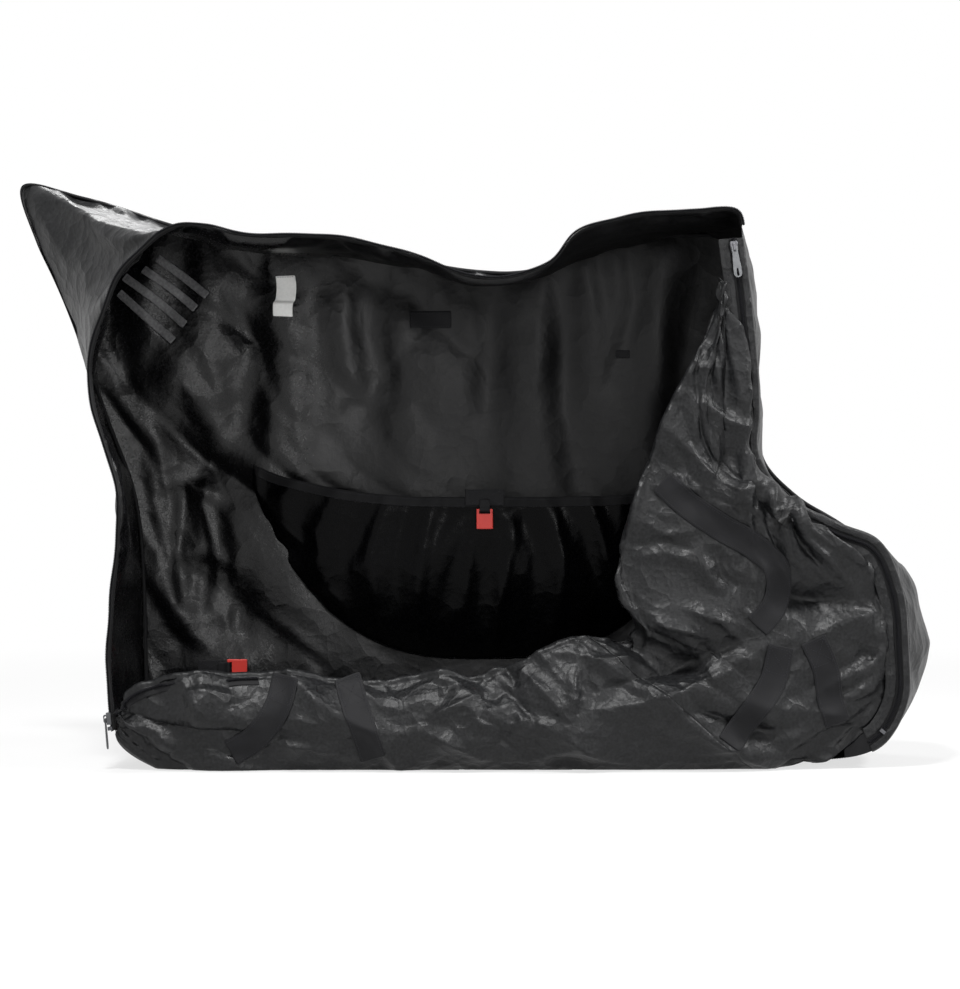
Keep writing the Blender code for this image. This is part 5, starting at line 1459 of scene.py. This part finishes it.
start = panel_share < CREST_TAPE_SHARE
normal = grid_normals(panel)[CREST_ROW, start]
crest = panel[CREST_ROW, start] + normal * (EDGE_GAP + TAPE_PROUD)
down = unit(panel[CREST_ROW - 8, start] - panel[CREST_ROW, start])
rows = np.linspace(1, 0.03, 5)[:, None, None]
end_tape = crest + down * rows * TAPE_WIDTH
cloth_piece("zip_tape_panel_end_weave", end_tape, [zip_tape], ["zip_tape_panel_end"], TAPE_THICKNESS)
end_path = crest + down * COIL_INSET + normal * COIL_LIFT
coil_object("zip_coil_panel_end_spiral", "zip_coil_panel_end", end_path, normal)

hem_line = panel[-1, 16:-12:2]
onward = unit(hem_line - panel[-3, 16:-12:2])
tucked_tape = np.array([hem_line + onward * (SEAM_GAP + TAPE_WIDTH * share) for share in np.linspace(0, 1, 4)])
cloth_piece("zip_tape_tucked_weave", tucked_tape, [zip_tape], ["zip_tape_panel_tucked"], TAPE_THICKNESS)
tucked_normal = grid_normals(tucked_tape)[2]
tucked_path = hem_line + onward * (SEAM_GAP + TAPE_WIDTH - COIL_INSET) + tucked_normal * COIL_LIFT
coil_object("zip_coil_tucked_spiral", "zip_coil_panel_tucked", tucked_path, tucked_normal)

# %% [markdown]
# ## Hem, tabs and loops of the inside
#
# The pocket's hem is folded over its edge, so it is one strip that goes up the front, over the top
# and a little way down behind. Two webbing tabs carry the red buckle halves, each on a loop of
# narrow webbing that goes round the buckle's bar and back up under the tab.

# %% Pocket hem
HEM_FRONT_LIFT = 0.0014
HEM_BACK_LIFT = 0.0022
HEM_PROFILE = (
    (1.0, 1), (0.75, 1), (0.5, 1), (0.25, 1), (0.04, 1), (-0.05, 0.5), (0.0, -0.8), (0.3, -1), (0.6, -1),
)

columns = np.arange(1, POCKET_COLUMNS - 1)
tall = np.linalg.norm(np.diff(pocket, axis=0), axis=2).sum(0)[columns]
hem_rows = []
for down, lift in HEM_PROFILE:
    row = (1 - np.maximum(down, 0) * HEM_WIDTH / tall) * (POCKET_ROWS - 1)
    place = sampled(pocket, row, columns) + np.array([0, 0, 1]) * max(-down, 0) * HEM_WIDTH * 1.6
    normals = sampled(grid_normals(pocket), row, columns)
    hem_rows.append(place + normals * (HEM_FRONT_LIFT if lift > 0 else HEM_BACK_LIFT) * lift)
hem = np.array(hem_rows)
hem_piece = cloth_piece("pocket_hem_fold", hem, [zip_tape], ["pocket_hem"], THIN_CLOTH)
hem_ends = (0.5, hem.shape[1] - 1.5)
inside_thread = snapped([line_on(hem, (row, row), hem_ends) for row in (0.5, 3.2)], hem_piece)
inside_thread += snapped([line_on(pocket, (0.7, 0.7), (1, POCKET_COLUMNS - 2))], pocket_cloth)


# %% Tabs of doubled webbing, with their corners rounded
TAB_EDGE_SHARES = (0.0, 0.02, 0.07, 0.20, 0.35, 0.5, 0.65, 0.80, 0.93, 0.98, 1.0)


def tab(name, node):
    """A flat rounded block in the solid's box, its face swelling by a sine each way. Returns its stitches."""
    low, high = (np.array(corner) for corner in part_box(node))
    u = np.array(TAB_EDGE_SHARES)
    x = low[0] + (high[0] - low[0]) * u[None, :] + 0 * u[:, None]
    z = low[2] + (high[2] - low[2]) * u[:, None] + 0 * u[None, :]
    swell = 0.0006 * np.sin(math.pi * u)[:, None] * np.sin(math.pi * u)[None, :]
    grid = np.stack([x, low[1] + 0.0003 - swell, z], axis=-1)
    piece = cloth_piece(name, grid, [webbing], [node], (high[1] - low[1]) * 0.85)
    end = len(u) - 1
    inset = (end * 0.22, end - end * 0.22)
    return snapped(box_on(grid, inset, inset), piece)


inside_thread += tab("pocket_tab_webbing", "pocket_tab") + tab("floor_tab_webbing", "floor_tab")

# %% Loops round the bars of the buckles
LOOP_WIDTH = 0.0155
LOOP_OUTER_RADIUS = 0.0037
LOOP_THICKNESS = 0.0010
LOOP_LENGTH = 0.016
LOOP_NECK = 0.0011
POCKET_BAR = (0.007, 0.0715, 0.36465)
FLOOR_BAR = (-0.37935, 0.1251, 0.12697)


def webbing_loop(name, node, bar, up, aside):
    """Down one side to the neck, three quarters round the bar at the outer radius, and up the other side."""
    turn = np.radians(np.linspace(38, -218, 22))
    round_bar = np.column_stack([np.cos(turn), np.sin(turn)]) * LOOP_OUTER_RADIUS
    legs = np.array([(LOOP_NECK, LOOP_LENGTH), (LOOP_NECK, 0.0105), (LOOP_NECK, 0.0066), (0.0019, 0.0041)])
    profile = np.vstack([legs, round_bar, legs[::-1] * (-1, 1)])
    bar, up, aside = (np.array(v, float) for v in (bar, up, aside))
    middle = bar + profile[:, :1] * FORWARD + profile[:, 1:] * up
    grid = middle[None] + np.linspace(-0.5, 0.5, 5)[:, None, None] * LOOP_WIDTH * aside
    bottom = len(profile) // 2
    if np.dot(grid_normals(grid)[2, bottom], grid[2, bottom] - bar) < 0:
        grid = grid[::-1]
    return cloth_piece(name, grid, [webbing], [node], LOOP_THICKNESS)


webbing_loop("pocket_buckle_webbing", "pocket_buckle_loop", POCKET_BAR, up=(0, 0, 1), aside=(1, 0, 0))
webbing_loop("floor_buckle_webbing", "floor_buckle_loop", FLOOR_BAR, up=(-1, 0, 0), aside=(0, 0, 1))
print("hem, two tabs and two loops")

# %% [markdown]
# ## Ties, label and patches
#
# At the drawn-up corner four ties fan out, which wrap round a tube when the bag is packed. A care
# label hangs by its upper edge. Satin keeps the fold it was packed with, so the label's lower part
# tips forward. Two small patches strengthen the back panel.

# %% Small pieces on the back panel
TIE_WIDTH = 0.013
TIE_SHARES = (
    ((-0.366, 0.870), (-0.337, 0.838), (-0.309, 0.803)), ((-0.382, 0.851), (-0.351, 0.818), (-0.322, 0.781)),
    ((-0.404, 0.838), (-0.368, 0.797), (-0.334, 0.752)), ((-0.410, 0.810), (-0.379, 0.767), (-0.347, 0.724)),
)
LABEL_CENTRE, LABEL_SIZE = SPAN * (-0.221, 0.803), (0.030, 0.062)
PATCH_CENTRE, PATCH_SIZE = SPAN * (-0.056, 0.762), (0.062, 0.026)
SMALL_PATCH_CENTRE, SMALL_PATCH_SIZE = SPAN * (0.162, 0.701), (0.021, 0.012)

for number, shares in enumerate(TIE_SHARES, 1):
    tie = laid(SPAN * shares, TIE_WIDTH, back_cloth, 0.0022, stiff=6, step=0.004, across=5)
    share = np.linspace(0, 1, tie.shape[1])
    tie[:, :, 1] -= 0.0015 * np.sin(math.pi * share) * np.sin(5 * share + number) ** 2
    tie[:, :, 1] -= 0.005 * np.clip(share - 0.75, 0, 1) / 0.25
    piece = cloth_piece(f"tie_strap_{number}_tape", tie, [tie_satin], [f"tie_strap_{number}"], 0.0012)
    inside_thread += snapped([line_on(tie, (0.4, 3.6), (place, place)) for place in (1.2, 2.0)], piece)


def patch_on(node, centre, size):
    """A small piece on the back panel and the four lines of stitches near its edges."""
    (x, z), (wide, high) = centre, size
    path = ((x - wide / 2, z), (x, z), (x + wide / 2, z))
    grid = laid(path, high, back_cloth, 0.0016, stiff=3, step=0.0025, across=7)
    piece = cloth_piece(node + "_cloth", grid, [webbing], [node])
    return snapped(box_on(grid, (0.7, 6 - 0.7), (0.8, grid.shape[1] - 1 - 0.8), crossed=False), piece)


inside_thread += patch_on("sewn_patch", PATCH_CENTRE, PATCH_SIZE)
inside_thread += patch_on("small_patch", SMALL_PATCH_CENTRE, SMALL_PATCH_SIZE)

x, z = LABEL_CENTRE
half = LABEL_SIZE[1] / 2
path = ((x, z + half), (x + 0.001, z), (x, z - half))
label = laid(path, LABEL_SIZE[0], back_cloth, 0.0018, stiff=4, step=0.002)
share = np.linspace(0, 1, label.shape[1])
tip = 0.007 * np.clip((share - 0.62) / 0.05, 0, 1) * (1.15 - share)
label[:, :, 1] -= tip + 0.002 * np.sin(math.pi * share)
label[:, :, 0] += 0.0012 * np.sin(6 * share) - 0.0025 * np.clip((share - 0.60) / 0.06, 0, 1)
cloth_piece("care_label_satin", label, [label_satin], ["care_label"], 0.0006)
inside_thread.append(line_on(label, (0.6, 7.4), (1.0, 1.0)))
stitches("inside_thread", inside_thread)

# %% [markdown]
# ## The back of the bag
#
# The photograph doesn't show it. A bag like this is carried by webbing that runs round it, so four
# legs of webbing climb the back and two grips cross them, sewn down at both ends.

# %% Webbing and grips on the back
BACK_WEBBING_SHARES = {
    "back_strap_a": ((-0.262, 0.006), (-0.190, 0.470)),
    "back_strap_b": ((-0.112, 0.006), (-0.150, 0.470)),
    "back_strap_c": ((0.262, 0.006), (0.200, 0.400)),
    "back_strap_d": ((0.379, 0.030), (0.268, 0.400)),
}
GRIP_SHARES = {
    "back_grip_left": ((-0.198, 0.500), (-0.140, 0.500)),
    "back_grip_right": ((0.188, 0.430), (0.280, 0.430)),
}
GRIP_WIDTH = 0.046
GRIP_BOW = 0.006

back_thread = []
for node, ends in BACK_WEBBING_SHARES.items():
    foot, head = SPAN * ends
    strap = laid((foot, (foot + head) / 2, head), WEBBING_WIDTH, back_cloth, WEBBING_LIFT, side=1, step=0.007)
    piece = cloth_piece(node + "_webbing", strap, [webbing], [node], WEBBING_THICKNESS)
    last = strap.shape[1]
    back_thread += snapped(edge_rows(strap) + box_cross(strap, last - 7, last - 2), piece)
for node, ends in GRIP_SHARES.items():
    start, end = SPAN * ends
    grip = laid((start, (start + end) / 2, end), GRIP_WIDTH, back_cloth, WEBBING_LIFT + 0.0024, side=1)
    grip[:, :, 1] += GRIP_BOW * np.sin(np.linspace(0, math.pi, grip.shape[1])) ** 2
    piece = cloth_piece(node + "_webbing", grip, [webbing], [node], 0.0028)
    last = grip.shape[1]
    back_thread += snapped(box_cross(grip, 0.6, 3) + box_cross(grip, last - 4, last - 1.6), piece)
stitches("back_webbing_thread", back_thread)
print("back straps:", len(BACK_WEBBING_SHARES), "and grips:", len(GRIP_SHARES))

# %% [markdown]
# ## Seams of the shell
#
# Wherever two cloths of the shell meet, two rows of stitches run beside the seam. Inside, the raw
# edges of the back seam are bound with a narrow tape, which is also what keeps the outline firm.

# %% Seam stitching and binding
BINDING_WIDTH = 0.012
BINDING_STEP = 0.007
JOINT_INSET = 0.30

shell_thread = []
for node, piece in gusset_pieces.items():
    part = band[:, between(*GUSSET_JOINTS[node])]
    end = part.shape[1] - 1
    sewing = [line_on(part, (row, row), (0.2, end - 0.2)) for row in (0.28, 0.75, BAND_ROWS - 1.5)]
    for column in (JOINT_INSET, end - JOINT_INSET):
        sewing.append(line_on(part, (0.3, BAND_ROWS - 1.3), (column, column)))
    shell_thread += snapped(sewing, piece)
stitches("gusset_thread", shell_thread)

panel_thread = []
for piece, (first, last) in zip(panel_pieces, PANEL_PARTS.values()):
    here = np.flatnonzero((panel_share >= first) & (panel_share <= last))
    panel_thread += snapped([line_on(panel, (1.3, 1.3), (here[0] + 2, here[-1] - 2))], piece)
stitches("front_panel_thread", panel_thread + zip_thread)

at = even_stations(0, STATIONS, BINDING_STEP)
inner = back_seam(at) - outward(at) * 0.004
turn = np.linspace(-0.25 * math.pi, 0.75 * math.pi, 5)[:, None, None]
across = -outward(at)[None] * np.cos(turn) + FORWARD * np.sin(turn)
binding = inner[None] - (0, 0.006, 0) + across * BINDING_WIDTH * 0.28
keep_above(binding, 0.002)
if np.dot(grid_normals(binding)[2, 5], across[2, 5]) < 0:
    binding = binding[::-1]
cloth_piece("seam_binding", binding, [zip_tape], thickness=0.0008)
print("binding", round(run_along(inner)[-1], 2), "m")

# %% [markdown]
# ## Metal and plastic that stay as solids
#
# The two sliders with their pulls, the stops and the red buckle halves are rigid and already have
# their true shapes. They keep their solids and only get their finishes.

# %% Finishes of the solids that stay
SOLID_FINISHES = {
    "zip_slider_top": slider_metal, "zip_slider_bottom": pull_metal, "zip_stop_left": slider_metal,
    "zip_stop_right": slider_metal, "zip_pull_top": pull_metal, "zip_pull_bottom": pull_metal,
    "pocket_buckle": red_plastic, "floor_buckle": red_plastic,
}
for node, finish in SOLID_FINISHES.items():
    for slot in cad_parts[node].material_slots:
        slot.material = finish
print("solids with new finishes:", len(SOLID_FINISHES))

# %% [markdown]
# ## Sheets of cloth
#
# Each large cloth's area is printed beside the size that it was cut to.


# %% Cut sizes
def area_of(grid):
    """Square metres of a grid: half the cross product of each cell's diagonals."""
    across = grid[1:, 1:] - grid[:-1, :-1]
    down = grid[1:, :-1] - grid[:-1, 1:]
    return float(np.linalg.norm(np.cross(across, down), axis=2).sum() / 2)


bpy.data.objects.remove(panel_face)
sheets = [
    (pocket_cloth, (0.80, 0.36), "gathered", area_of(pocket), ["back_panel_cloth"]),
    (back_cloth, (1.36, 0.86), "stretched", area_of(back), ["base_gusset_cloth", "left_gusset_cloth"]),
]
for node, piece in gusset_pieces.items():
    part = band[:, between(*GUSSET_JOINTS[node])]
    wide = max(float(run_along(edge)[-1]) for edge in (part[0], part[-1]))
    sheets.append((piece, (wide, 0.30), "stretched", area_of(part), ["back_panel_cloth"]))
for piece, shares in zip(panel_pieces, PANEL_PARTS.values()):
    part = panel_part(*shares)
    tall = float(np.linalg.norm(np.diff(part, axis=0), axis=2).sum(0).max())
    wide = float(run_along(part[2 * ROLL_ROWS])[-1])
    under = ["base_gusset_cloth", "right_lower_gusset_cloth"]
    sheets.append((piece, (wide, tall), "gathered", area_of(part), under))
for piece, flat, held_as, area, under in sheets:
    limit = flat[0] * flat[1]
    min(max(area, 0.3 * limit), limit)
    print(piece.name, "cut to", [round(v, 2) for v in flat], "m, area", round(area, 3), "of", round(limit, 3))

# %% [markdown]
# ## Floor and light
#
# The photograph has a white floor that runs into a white wall. A floor under a soft grey sky
# catches the bag's own shadow. The camera sees the sky as plain white, while the light that it
# gives is weaker, so black cloth stays black. The strongest lamp stands high in front, a little to
# the left. Weaker ones stand low in front, at the right end and behind.

# %% Floor
floor_finish = Finish("floor_paper", {"Roughness": 0.75, "Specular IOR Level": 0.25})
tone = floor_finish.noise(1.3, 2.0)
floor_finish.drive("Base Color", floor_finish.blend_colour(tone, (0.80, 0.80, 0.80), (0.86, 0.86, 0.86)))
floor_finish.relief(floor_finish.noise(60.0, 2.0) * 0.00005)

PAPER_GLOW, GLOW_NEAR, GLOW_FAR = 0.7, 1.0, 3.2
far = floor_finish.node("ShaderNodeVectorMath", {"operation": "LENGTH"}, {0: floor_finish.place()}, "Value")
sockets = {"Value": far, "From Min": GLOW_NEAR, "From Max": GLOW_FAR, "To Min": PAPER_GLOW, "To Max": 1.0}
glow = floor_finish.node("ShaderNodeMapRange", {"interpolation_type": "SMOOTHSTEP"}, sockets)
white = floor_finish.node("ShaderNodeEmission", {}, {})
paper = Wire(floor_finish, floor_finish.shader.outputs[0])
sockets = {0: floor_finish.seen_directly() * glow, 1: paper, 2: white}
mixed = floor_finish.node("ShaderNodeMixShader", {}, sockets)
floor_finish.tree.links.new(mixed.socket, floor_finish.tree.nodes["Material Output"].inputs["Surface"])

FLOOR_REACH, FLOOR_HEIGHT = 12.0, -0.0006
side = np.linspace(-FLOOR_REACH, FLOOR_REACH, 3)
x, y = np.meshgrid(side, side)
floor_grid = np.stack([x, y, np.full_like(x, FLOOR_HEIGHT)], axis=-1)
floor = grid_object("paper_floor", floor_grid, [floor_finish.material])
floor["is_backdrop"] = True
print("floor", 2 * FLOOR_REACH, "m square, of", len(floor.data.vertices), "points")

# %% Sky and lamps
SKY_STRENGTH = 0.16
world = bpy.data.worlds.new("pale_sky")
world.use_nodes = True
bpy.context.scene.world = world
sky = Shading(world.node_tree)
background = sky.tree.nodes["Background"]
background.inputs["Color"].default_value = (1, 1, 1, 1)
sockets = {"Value": sky.seen_directly(), "To Min": SKY_STRENGTH, "To Max": 1.0}
strength = sky.node("ShaderNodeMapRange", {}, sockets)
sky.tree.links.new(strength.socket, background.inputs["Strength"])


def lamp(name, place, aim, size, power):
    """A square soft lamp that looks at a point, with its side in metres and its power in watts."""
    data = bpy.data.lights.new(name, "AREA")
    data.size = size
    data.energy = power
    thing = bpy.data.objects.new(name, data)
    thing.location = place
    thing.rotation_euler = (Vector(aim) - Vector(place)).to_track_quat("-Z", "Y").to_euler()
    bpy.context.scene.collection.objects.link(thing)


lamp("key", place=(-0.5, -1.5, 3.3), aim=(0, 0, 0.35), size=0.5, power=115)
lamp("fill", place=(0.9, -3.3, 1.2), aim=(-0.2, 0, 0.4), size=0.6, power=20)
lamp("rim", place=(2.4, -0.5, 2.2), aim=(0.3, 0, 0.4), size=0.5, power=60)
lamp("behind", place=(-0.6, 2.6, 3.0), aim=(0, 0.1, 0.4), size=0.8, power=40)
bpy.context.scene.view_settings.view_transform = "Standard"
print("sky and", len(bpy.data.lights), "lamps")

# %% [markdown]
# ## Sizes at the end
#
# The box of the dressed bag is printed beside the box of its solids.

# %% Boxes of the solids and of the dressed bag
low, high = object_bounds()
for axis, a, b, c, d in zip("XYZ", cad_low, cad_high, low, high):
    print(axis, "solids", round(a, 3), round(b, 3), "dressed", round(c, 3), round(d, 3))
